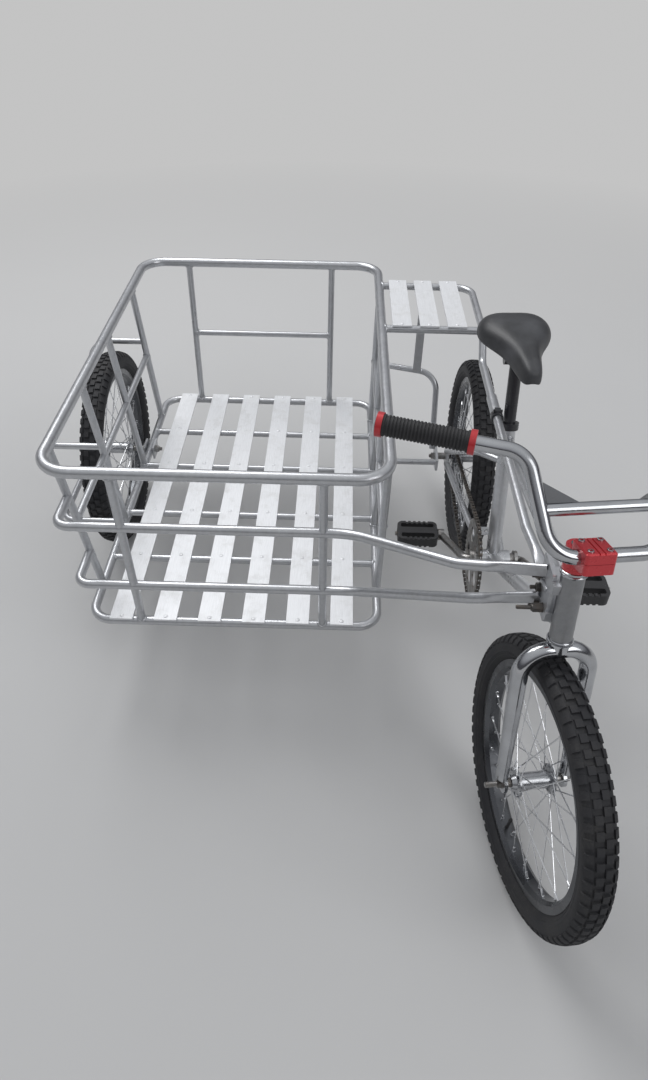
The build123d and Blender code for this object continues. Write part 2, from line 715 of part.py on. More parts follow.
with BuildPart() as bb_shell:
    with BuildSketch(Plane(origin=bb_centre - Vector(BB_HALF_WIDTH, 0, 0), z_dir=(1, 0, 0))):
        Circle(BB_RADIUS)
        Circle(SPINDLE_RADIUS + AXLE_FIT, mode=Mode.SUBTRACT)
    extrude(amount=2 * BB_HALF_WIDTH)
finish(bb_shell, "bottom_bracket_shell")

bb_keep = disc(bb_centre - Vector(BB_HALF_WIDTH, 0, 0), (1, 0, 0), BB_RADIUS, 2 * BB_HALF_WIDTH)
head_keep = disc(head_low, steer_up, HEAD_RADIUS, HEAD_LENGTH)
seat_top = seat_point(SEAT_TUBE_TOP_Z)
seat_keep = disc(bb_centre, seat_dir, SEAT_TUBE_RADIUS, (seat_top - bb_centre).length)
with BuildPart() as seat_tube:
    add(seat_keep)
    add(bb_keep, mode=Mode.SUBTRACT)
    with BuildSketch(Plane(origin=seat_top, z_dir=-seat_dir)):
        Circle(SEAT_POST_RADIUS + AXLE_FIT)
    extrude(amount=120.0, mode=Mode.SUBTRACT)
finish(seat_tube, "seat_tube")

down_start = head_low + steer_up * 26.0
with BuildPart() as down_tube:
    add(tube((down_start, bb_centre), MAIN_TUBE_RADIUS))
    add(head_keep, mode=Mode.SUBTRACT)
    add(bb_keep, mode=Mode.SUBTRACT)
    add(seat_keep, mode=Mode.SUBTRACT)
finish(down_tube, "down_tube")

top_start = head_high - steer_up * 24.0
top_end = seat_point(SEAT_TUBE_TOP_Z - 22.0)
top_tube_solid = tube((top_start, top_end), TOP_TUBE_RADIUS)
with BuildPart() as top_tube:
    add(top_tube_solid)
    add(head_keep, mode=Mode.SUBTRACT)
    add(seat_keep, mode=Mode.SUBTRACT)
finish(top_tube, "top_tube")
finish(head_tube, "head_tube")

rear_centre = Vector(BIKE_X, REAR_Y, AXLE_Z)
rear_out = REAR_HUB_SPACE + DROPOUT_THICK
stay_mid = REAR_HUB_SPACE + DROPOUT_THICK / 2
dropout_solids = []
for side in (-1, 1):
    inner = rear_centre + Vector(side * REAR_HUB_SPACE, 0, 0)
    with BuildPart() as drop_one:
        with BuildSketch(Plane(origin=inner, x_dir=(0, 1, 0), z_dir=(side, 0, 0))):
            with BuildLine():
                Polyline((-42, -14 * side), (14, -18 * side), (18, 10 * side), (-6, 34 * side), (-24, 34 * side),
                         (-42, 10 * side), close=True)
            make_face()
            Circle(AXLE_RADIUS + AXLE_FIT, mode=Mode.SUBTRACT)
        extrude(amount=DROPOUT_THICK)
    dropout_solids.append(drop_one.part)
with BuildPart() as dropouts:
    add(dropout_solids)
finish(dropouts, "rear_dropouts")

chain_stay_solids = []
seat_stay_solids = []
seat_stay_top = seat_point(500.0)
for side in (-1, 1):
    x = BIKE_X + side * stay_mid
    chain_stay_solids.append(tube(
        ((BIKE_X + side * 22, BB_Y + 6, BB_Z - 2), (BIKE_X + side * 29, BB_Y + 96, BB_Z - 6),
         (BIKE_X + side * 42, BB_Y + 204, BB_Z - 12), (x, REAR_Y - 32, AXLE_Z - 2)),
        CHAIN_STAY_RADIUS, 80.0))
    seat_stay_solids.append(tube(
        (seat_stay_top + Vector(0, 6, 0), (BIKE_X + side * 44, seat_stay_top.Y + 62, seat_stay_top.Z - 14),
         (x, REAR_Y - 15, AXLE_Z + 26)), SEAT_STAY_RADIUS, 26.0))
rear_gap = turned(
    ((-TYRE_HALF_WIDTH - STAY_TYRE_ROOM, 10), (TYRE_HALF_WIDTH + STAY_TYRE_ROOM, 10),
     (TYRE_HALF_WIDTH + STAY_TYRE_ROOM, TYRE_RADIUS + STAY_TYRE_ROOM),
     (-TYRE_HALF_WIDTH - STAY_TYRE_ROOM, TYRE_RADIUS + STAY_TYRE_ROOM)),
    rear_centre, Vector(1, 0, 0), Vector(0, -1, 0))
with BuildPart() as chain_stays:
    add(chain_stay_solids)
    with BuildSketch(Plane(origin=(BIKE_X, BRIDGE_Y, BB_Z - CHAIN_STAY_RADIUS), z_dir=(0, 0, 1))):
        Rectangle(2 * BB_HALF_WIDTH - 2 * CHAIN_STAY_RADIUS, BRIDGE_LENGTH)
        Circle(AXLE_RADIUS, mode=Mode.SUBTRACT)
    extrude(amount=BRIDGE_THICK)
    add(bb_keep, mode=Mode.SUBTRACT)
    add(dropout_solids, mode=Mode.SUBTRACT)
    add(rear_gap, mode=Mode.SUBTRACT)
finish(chain_stays, "chain_stays")
with BuildPart() as seat_stays:
    add(seat_stay_solids)
    add(seat_keep, mode=Mode.SUBTRACT)
    add(dropout_solids, mode=Mode.SUBTRACT)
    add(rear_gap, mode=Mode.SUBTRACT)
finish(seat_stays, "seat_stays")

# Rear axle: reaches past the right dropout through a spacer to the link plate
rear_axle_solid = axle_bar(rear_centre, Vector(1, 0, 0), (-LINK_SPACE - PLATE_THICK - 14, rear_out + 18), (
    (hub_end, REAR_HUB_SPACE, 8.0),
    (-REAR_HUB_SPACE, -CHAIN_LINE - 4.0, 8.0),
    (rear_out, rear_out + NUT_LENGTH, NUT_RADIUS),
    (-LINK_SPACE, -rear_out, 9.0),
    (-LINK_SPACE - PLATE_THICK - NUT_LENGTH, -LINK_SPACE - PLATE_THICK, NUT_RADIUS)))
with BuildPart() as rear_axle:
    add(rear_axle_solid)
finish(rear_axle, "rear_axle")

# Seat clamp, seat post and saddle
post_top = seat_point(SADDLE_BASE_Z)
post_low = seat_top - seat_dir * 110.0
with BuildPart() as seat_clamp:
    with BuildSketch(Plane(origin=seat_top, z_dir=seat_dir)):
        Circle(SEAT_TUBE_RADIUS + 5.0)
        Circle(SEAT_POST_RADIUS + AXLE_FIT, mode=Mode.SUBTRACT)
    extrude(amount=14.0)
finish(seat_clamp, "seat_clamp")
saddle_turn = radians(SADDLE_TURN_DEG)
saddle_side = Vector(cos(saddle_turn), sin(saddle_turn), 0)
saddle_ahead = Vector(sin(saddle_turn), -cos(saddle_turn), 0)
saddle_rear = post_top - saddle_ahead * (SADDLE_REAR_Y - post_top.Y)
with BuildPart() as saddle:
    for ahead, width, height, drop in SADDLE_SECTIONS:
        middle = saddle_rear + saddle_ahead * ahead + Vector(0, 0, height / 2 - drop)
        with BuildSketch(Plane(origin=middle, x_dir=-saddle_side, z_dir=saddle_ahead)):
            RectangleRounded(width, height, 0.46 * height)
    loft(ruled=True)
    with BuildSketch(Plane.XY.offset(SADDLE_BASE_Z)):
        with Locations((post_top.X, post_top.Y)):
            Circle(SADDLE_CLAMP_LENGTH)
    extrude(amount=-SADDLE_CLAMP_RADIUS, mode=Mode.SUBTRACT)
finish(saddle, "saddle")
clamp_low = Vector(BIKE_X - SADDLE_CLAMP_LENGTH / 2, post_top.Y, SADDLE_BASE_Z - SADDLE_CLAMP_RADIUS - RIM_FIT)
with BuildPart() as seat_post:
    add(disc(post_low, seat_dir, SEAT_POST_RADIUS, (post_top - post_low).length + 40.0))
    add(disc(clamp_low, (1, 0, 0), SADDLE_CLAMP_RADIUS, SADDLE_CLAMP_LENGTH))
    with BuildSketch(Plane.XY.offset(SADDLE_BASE_Z - RIM_FIT)):
        with Locations((post_top.X, post_top.Y)):
            Rectangle(200, 200)
    extrude(amount=120.0, mode=Mode.SUBTRACT)
finish(seat_post, "seat_post")

# Crank set: spindle, chainring and arms turn together; each pedal turns on its pin
ring_out = CHAIN_LINE + RING_THICK / 2
crank_dir = Vector(0, cos(radians(CRANK_DEG)), -sin(radians(CRANK_DEG)))
with BuildPart() as chainring:
    add(toothed(bb_centre - Vector(ring_out - RING_THICK, 0, 0), Vector(-1, 0, 0), RING_TIP_RADIUS, RING_TEETH))
    with BuildSketch(Plane(origin=bb_centre, z_dir=(-1, 0, 0))):
        with PolarLocations(RING_WINDOW_PLACE, RING_WINDOWS):
            Circle(RING_WINDOW_RADIUS)
        Circle(SPINDLE_RADIUS)
    extrude(amount=2 * ring_out, mode=Mode.SUBTRACT)
finish(chainring, "chainring")
cone_out = BB_HALF_WIDTH + RUN_GAP
with BuildPart() as spindle:
    add(disc(bb_centre - Vector(ring_out, 0, 0), (1, 0, 0), SPINDLE_RADIUS, 2 * ring_out))
    add(disc(bb_centre - Vector(cone_out, 0, 0), (-1, 0, 0), CRANK_EYE_RADIUS, ring_out - RING_THICK - cone_out))
    add(disc(bb_centre + Vector(cone_out, 0, 0), (1, 0, 0), CRANK_EYE_RADIUS, ring_out - cone_out))
finish(spindle, "crank_spindle")
arm_solids = []
pin_places = []
for side in (-1, 1):
    root = bb_centre + Vector(side * ring_out, 0, 0)
    knee = bb_centre + Vector(side * CRANK_ROOT, 0, 0)
    tip = bb_centre + Vector(side * CRANK_OUT, 0, 0) - crank_dir * (side * CRANK_LENGTH)
    pin_places.append((side, tip))
    with BuildPart() as arm_one:
        add(tube((root, knee, tip), CRANK_RADIUS, CRANK_ROOT - ring_out))
        add(disc(root, (side, 0, 0), RING_BOSS_RADIUS, RING_BOSS_THICK))
        add(disc(tip - Vector(side * CRANK_EYE_THICK / 2, 0, 0), (side, 0, 0), CRANK_EYE_RADIUS, CRANK_EYE_THICK))
        add(disc(tip, (side, 0, 0), PEDAL_PIN_RADIUS, CRANK_EYE_THICK / 2 + PEDAL_LENGTH + 8.0))
    arm_solids.append(arm_one.part)
with BuildPart() as crank_arms:
    add(arm_solids)
finish(crank_arms, "crank_arms")
window_depth = PEDAL_DEPTH / 2 - PEDAL_WALL - PEDAL_BARREL
for side, tip in pin_places:
    start = tip + Vector(side * (CRANK_EYE_THICK / 2 + PEDAL_GAP), 0, 0)
    middle = start + Vector(side * PEDAL_LENGTH / 2, 0, 0)
    underside = middle - Vector(0, 0, PEDAL_HEIGHT / 2)
    with BuildPart() as pedal:
        with BuildSketch(Plane(origin=underside, x_dir=(1, 0, 0), z_dir=(0, 0, 1))):
            RectangleRounded(PEDAL_LENGTH, PEDAL_DEPTH, PEDAL_CORNER)
            with GridLocations(0, 2 * PEDAL_BARREL + window_depth, 1, 2):
                RectangleRounded(PEDAL_LENGTH - 2 * PEDAL_WALL, window_depth, PEDAL_WALL / 2, mode=Mode.SUBTRACT)
        extrude(amount=PEDAL_HEIGHT)
        for level in (0.0, PEDAL_HEIGHT):
            with BuildSketch(Plane(origin=underside + Vector(0, 0, level), x_dir=(1, 0, 0), z_dir=(0, 0, 1))):
                with GridLocations(PEDAL_WALL * 1.5, 0, PEDAL_NOTCHES, 1):
                    Rectangle(PEDAL_WALL * 0.7, 2 * PEDAL_DEPTH)
                Rectangle(PEDAL_LENGTH, 2 * PEDAL_BARREL, mode=Mode.SUBTRACT)
            extrude(amount=PEDAL_NOTCH, both=True, mode=Mode.SUBTRACT)
        add(disc(start - Vector(side, 0, 0), (side, 0, 0), PEDAL_PIN_RADIUS + AXLE_FIT, PEDAL_LENGTH + 2),
            mode=Mode.SUBTRACT)
    finish(pedal, "pedal_left" if side > 0 else "pedal_right")

# Chain: one fixed loop round chainring and sprocket, lying on the tips of their teeth
chain_x = BIKE_X - CHAIN_LINE
big = RING_TIP_RADIUS + CHAIN_CLEAR + LINK_HEIGHT / 2
small = SPROCKET_TIP_RADIUS + CHAIN_CLEAR + LINK_HEIGHT / 2
span = Vector(0, REAR_Y - BB_Y, AXLE_Z - BB_Z)
span_length = span.length
open_angle = degrees(atan2(sqrt(span_length ** 2 - (big - small) ** 2), big - small))
chain_plane = Plane(origin=(chain_x, BB_Y, BB_Z), x_dir=span.normalized(), z_dir=(1, 0, 0))
run_length = sqrt(span_length ** 2 - (big - small) ** 2)
small_wrap = radians(2 * open_angle) * small
big_wrap = radians(360 - 2 * open_angle) * big
loop_length = 2 * run_length + small_wrap + big_wrap


def belt(extra):
    """Outline of a belt round both toothed wheels, its middle line grown by extra."""
    a = radians(open_angle)
    high = [(place + radius * cos(a), radius * sin(a)) for place, radius in ((0, big + extra),
                                                                            (span_length, small + extra))]
    low = [(x, -y) for x, y in high]
    with BuildSketch() as outline:
        with BuildLine():
            Line(high[0], high[1])
            ThreePointArc(high[1], (span_length + small + extra, 0), low[1])
            Line(low[1], low[0])
            ThreePointArc(low[0], (-big - extra, 0), high[0])
        make_face()
    return outline.sketch


def belt_place(run):
    """Place and turn of a link, run millimetres along the chain's middle line."""
    turn = 90 - open_angle
    if run < run_length:
        share = run / run_length
        start = Vector(big, 0, 0).rotate(Axis.Z, open_angle)
        end = Vector(small, 0, 0).rotate(Axis.Z, open_angle) + Vector(span_length, 0, 0)
        return Location(start + (end - start) * share, (0, 0, 1), -turn)
    run -= run_length
    if run < small_wrap:
        angle = open_angle - degrees(run / small)
        spot = Vector(small, 0, 0).rotate(Axis.Z, angle) + Vector(span_length, 0, 0)
        return Location(spot, (0, 0, 1), angle - 90)
    run -= small_wrap
    if run < run_length:
        share = run / run_length
        start = Vector(small, 0, 0).rotate(Axis.Z, -open_angle) + Vector(span_length, 0, 0)
        end = Vector(big, 0, 0).rotate(Axis.Z, -open_angle)
        return Location(start + (end - start) * share, (0, 0, 1), turn)
    angle = -open_angle - degrees((run - run_length) / big)
    return Location(Vector(big, 0, 0).rotate(Axis.Z, angle), (0, 0, 1), angle - 90)


link_count = round(loop_length / (2 * CHAIN_PITCH))
with BuildPart() as chain_form:
    with BuildSketch(Plane.XY.offset(-CHAIN_CORE_WIDTH / 2)):
        add(belt(CHAIN_CORE_HEIGHT / 2))
        add(belt(-CHAIN_CORE_HEIGHT / 2), mode=Mode.SUBTRACT)
    extrude(amount=CHAIN_CORE_WIDTH)
    with Locations(*[belt_place((index + 0.5) * loop_length / link_count) for index in range(link_count)]):
        Box(LINK_LENGTH, LINK_HEIGHT, LINK_WIDTH)
with BuildPart() as chain:
    add(chain_form.part.moved(chain_plane.location))
finish(chain, "chain")

# Basket: two rounded-rectangle rims


def rim_loop(left, right, front, rear, z, corner, radius):
    """Closed tube loop with rounded corners."""
    with BuildPart() as loop:
        with BuildLine() as path:
            FilletPolyline((right, front, z), (right, rear, z), (left, rear, z), (left, front, z),
                           radius=corner, close=True)
        with BuildSketch(Plane(origin=path.line @ 0, z_dir=path.line % 0)):
            Circle(radius)
        sweep()
    return loop.part


top_rim_solid = rim_loop(TOP_LEFT, TOP_RIGHT, TOP_FRONT, TOP_REAR, TOP_Z, TOP_CORNER, TOP_RADIUS)
floor_rim_solid = rim_loop(FLOOR_LEFT, FLOOR_RIGHT, FLOOR_FRONT, FLOOR_REAR, FLOOR_Z, FLOOR_CORNER, FLOOR_RADIUS)
side_centre = Vector(SIDE_X, REAR_Y, AXLE_Z)
side_axle_hole = disc((FLOOR_LEFT - 30, REAR_Y, AXLE_Z), (1, 0, 0), AXLE_RADIUS + AXLE_FIT, 60.0)
with BuildPart() as top_rim:
    add(top_rim_solid)
finish(top_rim, "top_rim")
with BuildPart() as floor_rim:
    add(floor_rim_solid)
    add(side_axle_hole, mode=Mode.SUBTRACT)
finish(floor_rim, "floor_rim")

cross_z = FLOOR_Z + FLOOR_RADIUS - CROSS_RADIUS - 0.1
cross_solids = [tube(((FLOOR_LEFT, y, cross_z), (FLOOR_RIGHT, y, cross_z)), CROSS_RADIUS) for y in CROSS_PLACES]
slat_z = FLOOR_Z + FLOOR_RADIUS
with BuildPart() as floor_slats:
    with BuildSketch(Plane.XY.offset(slat_z)):
        for index in range(SLAT_COUNT):
            with Locations((SLAT_FIRST_X + index * SLAT_PITCH, (FLOOR_FRONT + FLOOR_REAR) / 2)):
                Rectangle(SLAT_WIDTH, FLOOR_REAR - FLOOR_FRONT + 2 * FLOOR_RADIUS)
    extrude(amount=SLAT_THICK)
finish(floor_slats, "floor_slats")

# Posts: name of the side, place along it at the top rim, place at the floor rim
REAR_POSTS = ((-390.0, -390.0), (-15.0, -15.0))
FRONT_POSTS = ((-378.0, -384.0), (-10.0, -10.0))
SIDE_POSTS = ((581.0, 640.0), (335.0, 400.0), (120.0, 178.0), (-103.0, -40.0))


def post_at(row, side, z):
    """Centre of a post of the left or right side at height z."""
    share = (TOP_Z - z) / (TOP_Z - FLOOR_Z)
    top_x, low_x = (TOP_LEFT, FLOOR_LEFT) if side == "left" else (TOP_RIGHT, FLOOR_RIGHT)
    return Vector(top_x + (low_x - top_x) * share, row[0] + (row[1] - row[0]) * share, z)


def face_at(row, top_y, low_y, z):
    """Centre of a post of the front or rear face at height z."""
    share = (TOP_Z - z) / (TOP_Z - FLOOR_Z)
    return Vector(row[0] + (row[1] - row[0]) * share, top_y + (low_y - top_y) * share, z)


post_groups = (
    ("rear_posts", [tube((face_at(r, TOP_REAR, FLOOR_REAR, TOP_Z), face_at(r, TOP_REAR, FLOOR_REAR, FLOOR_Z)),
                         POST_RADIUS) for r in REAR_POSTS]),
    ("front_posts", [tube((face_at(r, TOP_FRONT, FLOOR_FRONT, TOP_Z), face_at(r, TOP_FRONT, FLOOR_FRONT, FLOOR_Z)),
                          POST_RADIUS) for r in FRONT_POSTS]),
    ("left_posts", [tube((post_at(r, "left", TOP_Z), post_at(r, "left", FLOOR_Z)), POST_RADIUS) for r in SIDE_POSTS]),
    ("right_posts", [tube((post_at(r, "right", TOP_Z), post_at(r, "right", FLOOR_Z)), POST_RADIUS)
                     for r in SIDE_POSTS]),
)
posts = dict(post_groups)
for name, solids in post_groups:
    with BuildPart() as post_set:
        add(solids)
        add(top_rim_solid, mode=Mode.SUBTRACT)
        add(floor_rim_solid, mode=Mode.SUBTRACT)
    finish(post_set, name)

with BuildPart() as floor_cross_tubes:
    add(cross_solids)
    add(floor_rim_solid, mode=Mode.SUBTRACT)
    add(posts["left_posts"], mode=Mode.SUBTRACT)
    add(posts["right_posts"], mode=Mode.SUBTRACT)
finish(floor_cross_tubes, "floor_cross_tubes")

# Mid rails between the posts
left_rail_solid = tube((post_at(SIDE_POSTS[0], "left", MID_RAIL_Z), post_at(SIDE_POSTS[3], "left", MID_RAIL_Z)),
                       RAIL_RADIUS)
right_rail_solid = tube((post_at(SIDE_POSTS[0], "right", MID_RAIL_Z), post_at(SIDE_POSTS[3], "right", MID_RAIL_Z)),
                        RAIL_RADIUS)
rear_rail_solid = tube((face_at(REAR_POSTS[0], TOP_REAR, FLOOR_REAR, MID_RAIL_Z),
                        face_at(REAR_POSTS[1], TOP_REAR, FLOOR_REAR, MID_RAIL_Z)), RAIL_RADIUS)
for name, solid, group in (("left_mid_rail", left_rail_solid, "left_posts"),
                           ("right_mid_rail", right_rail_solid, "right_posts"),
                           ("rear_mid_rail", rear_rail_solid, "rear_posts")):
    with BuildPart() as rail:
        add(solid)
        add(posts[group], mode=Mode.SUBTRACT)
    finish(rail, name)

# The two arms: front rails of the basket that run on to the head of the bicycle
front_rail_left = face_at(FRONT_POSTS[0], TOP_FRONT, FLOOR_FRONT, FRONT_RAIL_Z)
front_rail_right = face_at(FRONT_POSTS[1], TOP_FRONT, FLOOR_FRONT, FRONT_RAIL_Z)
corner_post = post_at(SIDE_POSTS[3], "left", FRONT_RAIL_Z)
bracket_x = BIKE_X - BRACKET_GAP
level_ahead = Vector(0, -1, 0)
upper_arm_solid = bladed((
    (corner_post.X, corner_post.Y, FRONT_RAIL_Z),
    (corner_post.X, front_rail_left.Y, FRONT_RAIL_Z),
    (FRONT_RAIL_END, front_rail_right.Y, FRONT_RAIL_Z),
    UPPER_ARM_KNEE,
    (bracket_x + BRACKET_PLATE / 2, HEAD_MID_Y + ARM_BACK, HEAD_MID_Z + ARM_HIGH_UP)), ARM_RADIUS,
    (ARM_CORNER, ARM_BEND, ARM_BEND), level_ahead)
low_left = face_at(FRONT_POSTS[0], TOP_FRONT, FLOOR_FRONT, FRONT_LOW_Z)
low_right = face_at(FRONT_POSTS[1], TOP_FRONT, FLOOR_FRONT, FRONT_LOW_Z)
low_post = post_at(SIDE_POSTS[3], "left", FRONT_LOW_Z)
lower_arm_solid = bladed((
    (low_post.X, low_post.Y, FRONT_LOW_Z),
    (low_post.X, low_left.Y, FRONT_LOW_Z),
    (FRONT_RAIL_END, low_right.Y, FRONT_LOW_Z),
    LOWER_ARM_KNEE,
    (bracket_x + BRACKET_PLATE / 2, HEAD_MID_Y + ARM_BACK, HEAD_MID_Z - ARM_LOW_DOWN)), ARM_RADIUS,
    (ARM_CORNER, ARM_BEND, ARM_BEND), level_ahead)
# Head bracket: a plate beside the head tube that both arms end on, and two blocks behind it
block_reach = BIKE_X - bracket_x
with BuildPart() as head_bracket:
    with BuildSketch(Plane(origin=(bracket_x, HEAD_MID_Y, HEAD_MID_Z), x_dir=(0, 1, 0), z_dir=(1, 0, 0))):
        with BuildLine():
            Polyline((70, 49), (64, -3), (60, -42), (4, -42), (6, -3), (12, 49), close=True)
        make_face()
        fillet(vertices(), radius=6.0)
    extrude(amount=BRACKET_PLATE)
    for level in (ARM_HIGH_UP, -ARM_LOW_DOWN):
        with BuildSketch(Plane(origin=(bracket_x, HEAD_MID_Y + ARM_BACK / 2, HEAD_MID_Z + level),
                               x_dir=(0, 1, 0), z_dir=(1, 0, 0))):
            Rectangle(ARM_BACK, BRACKET_BLOCK)
        extrude(amount=block_reach)
    add(head_keep, mode=Mode.SUBTRACT)
    add(down_tube.part, mode=Mode.SUBTRACT)
    add(top_tube_solid, mode=Mode.SUBTRACT)
finish(head_bracket, "head_bracket")
for name, solid in (("upper_arm", upper_arm_solid), ("lower_arm", lower_arm_solid)):
    with BuildPart() as arm_piece:
        add(solid)
        add(posts["left_posts"], mode=Mode.SUBTRACT)
        add(posts["front_posts"], mode=Mode.SUBTRACT)
        add(head_bracket.part, mode=Mode.SUBTRACT)
    finish(arm_piece, name)

# Outside the third wheel: axle plate, two struts and a lower outrigger
side_in = SIDE_X - SIDE_HUB_SPACE
plate_out = side_in - PLATE_THICK
strut_x = plate_out - STRUT_RADIUS
with BuildPart() as outer_axle_plate:
    with BuildSketch(Plane(origin=(side_in, REAR_Y, AXLE_Z), x_dir=(0, 1, 0), z_dir=(-1, 0, 0))):
        Circle(PLATE_RADIUS + 8)
        Circle(AXLE_RADIUS + AXLE_FIT, mode=Mode.SUBTRACT)
    extrude(amount=PLATE_THICK)
front_strut_start = post_at(SIDE_POSTS[2], "left", STRUT_FRONT_Z)
rear_strut_start = post_at(SIDE_POSTS[0], "left", STRUT_REAR_Z)
nut_clear = NUT_RADIUS + STRUT_RADIUS + 3
front_strut_solid = tube((
    front_strut_start, (strut_x, front_strut_start.Y, STRUT_FRONT_Z),
    (strut_x, REAR_Y - nut_clear * 1.4, AXLE_Z + nut_clear)), STRUT_RADIUS, STRUT_BEND)
rear_strut_solid = tube((
    rear_strut_start, (strut_x, rear_strut_start.Y, STRUT_REAR_Z),
    (strut_x, REAR_Y + nut_clear * 0.4, AXLE_Z + nut_clear)), STRUT_RADIUS, STRUT_BEND)
outrigger_solid = tube((
    (FLOOR_LEFT, OUTRIGGER_Y, FLOOR_Z), (strut_x, OUTRIGGER_Y, FLOOR_Z),
    (strut_x, REAR_Y - nut_clear, AXLE_Z)), STRUT_RADIUS, 30.0)
with BuildPart() as outer_struts:
    add(front_strut_solid)
    add(rear_strut_solid)
    add(outrigger_solid)
    add(floor_rim_solid, mode=Mode.SUBTRACT)
    add(posts["left_posts"], mode=Mode.SUBTRACT)
finish(outer_struts, "outer_struts")

# Inner end of the side axle: lugs on both sides of the floor rail
lug_in = FLOOR_LEFT - FLOOR_RADIUS
with BuildPart() as axle_lugs:
    for origin, way in ((lug_in, -1), (FLOOR_LEFT + FLOOR_RADIUS, 1)):
        with BuildSketch(Plane(origin=(origin, REAR_Y, AXLE_Z), x_dir=(0, 1, 0), z_dir=(way, 0, 0))):
            Rectangle(46.0, 34.0)
            Circle(AXLE_RADIUS + AXLE_FIT, mode=Mode.SUBTRACT)
        extrude(amount=5.0)
inner_reach = lug_in - 5.0 - SIDE_X
inner_nut = FLOOR_LEFT + FLOOR_RADIUS + 5.0 - SIDE_X
side_axle_solid = axle_bar(side_centre, Vector(1, 0, 0), (plate_out - SIDE_X - 16, inner_nut + 16), (
    (hub_end, inner_reach, 8.0),
    (-SIDE_HUB_SPACE, -hub_end, 8.0),
    (plate_out - SIDE_X - NUT_LENGTH, plate_out - SIDE_X, NUT_RADIUS),
    (inner_nut, inner_nut + NUT_LENGTH, NUT_RADIUS)))
with BuildPart() as side_axle:
    add(side_axle_solid)
finish(side_axle, "side_axle")

# Link arms from the basket to the rear axle of the bicycle
link_face = BIKE_X - LINK_SPACE
link_out = link_face - PLATE_THICK
link_x = link_out - STRUT_RADIUS
with BuildPart() as link_plate:
    with BuildSketch(Plane(origin=(link_face, REAR_Y, AXLE_Z), x_dir=(0, 1, 0), z_dir=(-1, 0, 0))):
        with BuildLine():
            Polyline((-46, 16), (-46, -16), (12, -26), (26, -12), (26, 12), (12, 26), close=True)
        make_face()
        Circle(AXLE_RADIUS + AXLE_FIT, mode=Mode.SUBTRACT)
    extrude(amount=PLATE_THICK)
with BuildPart() as axle_plates:
    add(outer_axle_plate.part)
    add(axle_lugs.part)
    add(link_plate.part)
finish(axle_plates, "axle_plates")
high_post = post_at(SIDE_POSTS[0], "right", LINK_HIGH_Z)
link_high_solid = tube((
    (FLOOR_RIGHT, high_post.Y, LINK_HIGH_Z), (link_x, LINK_HIGH_Y, LINK_HIGH_Z),
    (link_x, REAR_Y + 6, AXLE_Z + nut_clear)), STRUT_RADIUS, 50.0)
link_low_solid = tube(((FLOOR_RIGHT, LINK_LOW_Y, FLOOR_Z), (link_out, LINK_LOW_Y, FLOOR_Z)), STRUT_RADIUS)
with BuildPart() as link_arms:
    add(link_high_solid)
    add(link_low_solid)
    add(posts["right_posts"], mode=Mode.SUBTRACT)
    add(right_rail_solid, mode=Mode.SUBTRACT)
    add(floor_rim_solid, mode=Mode.SUBTRACT)
finish(link_arms, "link_arms")

# Small carrier, and the long stay that runs on from it to the head tube
stay_end_y = HEAD_MID_Y + HEAD_RADIUS + BRACKET_PLATE
stay_end_z = HEAD_MID_Z + STAY_END_UP
carrier_solid = bladed((
    (CARRIER_RIGHT_X, CARRIER_REAR, TOP_Z), (CARRIER_OUT_X, CARRIER_REAR, TOP_Z),
    (CARRIER_OUT_X, CARRIER_FRONT, TOP_Z), (CARRIER_OUT_X, CARRIER_FRONT - STAY_DROP, STAY_Z),
    (CARRIER_OUT_X, STAY_BEND_Y, STAY_Z),
    (BIKE_X - HEAD_RADIUS, stay_end_y, stay_end_z)), CARRIER_RADIUS,
    (CARRIER_CORNER, STAY_BEND, STAY_BEND, ARM_BEND), Vector(0, 0, 1))
sleeve_solid = disc((CARRIER_OUT_X, SLEEVE_Y, STAY_Z), (0, 1, 0), CARRIER_RADIUS + SLEEVE_WALL, SLEEVE_LENGTH)
carrier_front_solid = tube((
    (CARRIER_RIGHT_X, CARRIER_FRONT, TOP_Z), (CARRIER_OUT_X, CARRIER_FRONT, TOP_Z)), CARRIER_RADIUS)
post_y = LINK_HIGH_Y
with BuildPart() as carrier_post:
    with BuildSketch(Plane.XY.offset(LINK_HIGH_Z + STRUT_RADIUS - 1)):
        with Locations((CARRIER_SLAT_XS[1], post_y)):
            Rectangle(20.0, 5.0)
    extrude(amount=TOP_Z + CARRIER_RADIUS - LINK_HIGH_Z - STRUT_RADIUS + 1)
with BuildPart() as carrier_frame:
    add(carrier_solid)
    add(sleeve_solid)
    add(carrier_front_solid)
    add(carrier_post.part)
    add(link_high_solid, mode=Mode.SUBTRACT)
    add(top_rim_solid, mode=Mode.SUBTRACT)
    add(head_keep, mode=Mode.SUBTRACT)
    add(top_tube_solid, mode=Mode.SUBTRACT)
    add(seat_keep, mode=Mode.SUBTRACT)
    add(head_bracket.part, mode=Mode.SUBTRACT)
finish(carrier_frame, "carrier_frame")
with BuildPart() as carrier_slats:
    with BuildSketch(Plane.XY.offset(TOP_Z + CARRIER_RADIUS)):
        with Locations(*[(x, (CARRIER_FRONT + CARRIER_REAR) / 2) for x in CARRIER_SLAT_XS]):
            Rectangle(CARRIER_SLAT_WIDTH, CARRIER_REAR - CARRIER_FRONT + 2 * CARRIER_RADIUS)
    extrude(amount=SLAT_THICK)
finish(carrier_slats, "carrier_slats")
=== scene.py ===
"""Looks of a cycle rickshaw: a pedal bicycle with a tube basket and a third wheel on its right."""

import json
import logging
import math
from collections.abc import Sequence
from dataclasses import dataclass, field
from enum import Enum

import bmesh
import bpy
from mathutils import Matrix, Vector

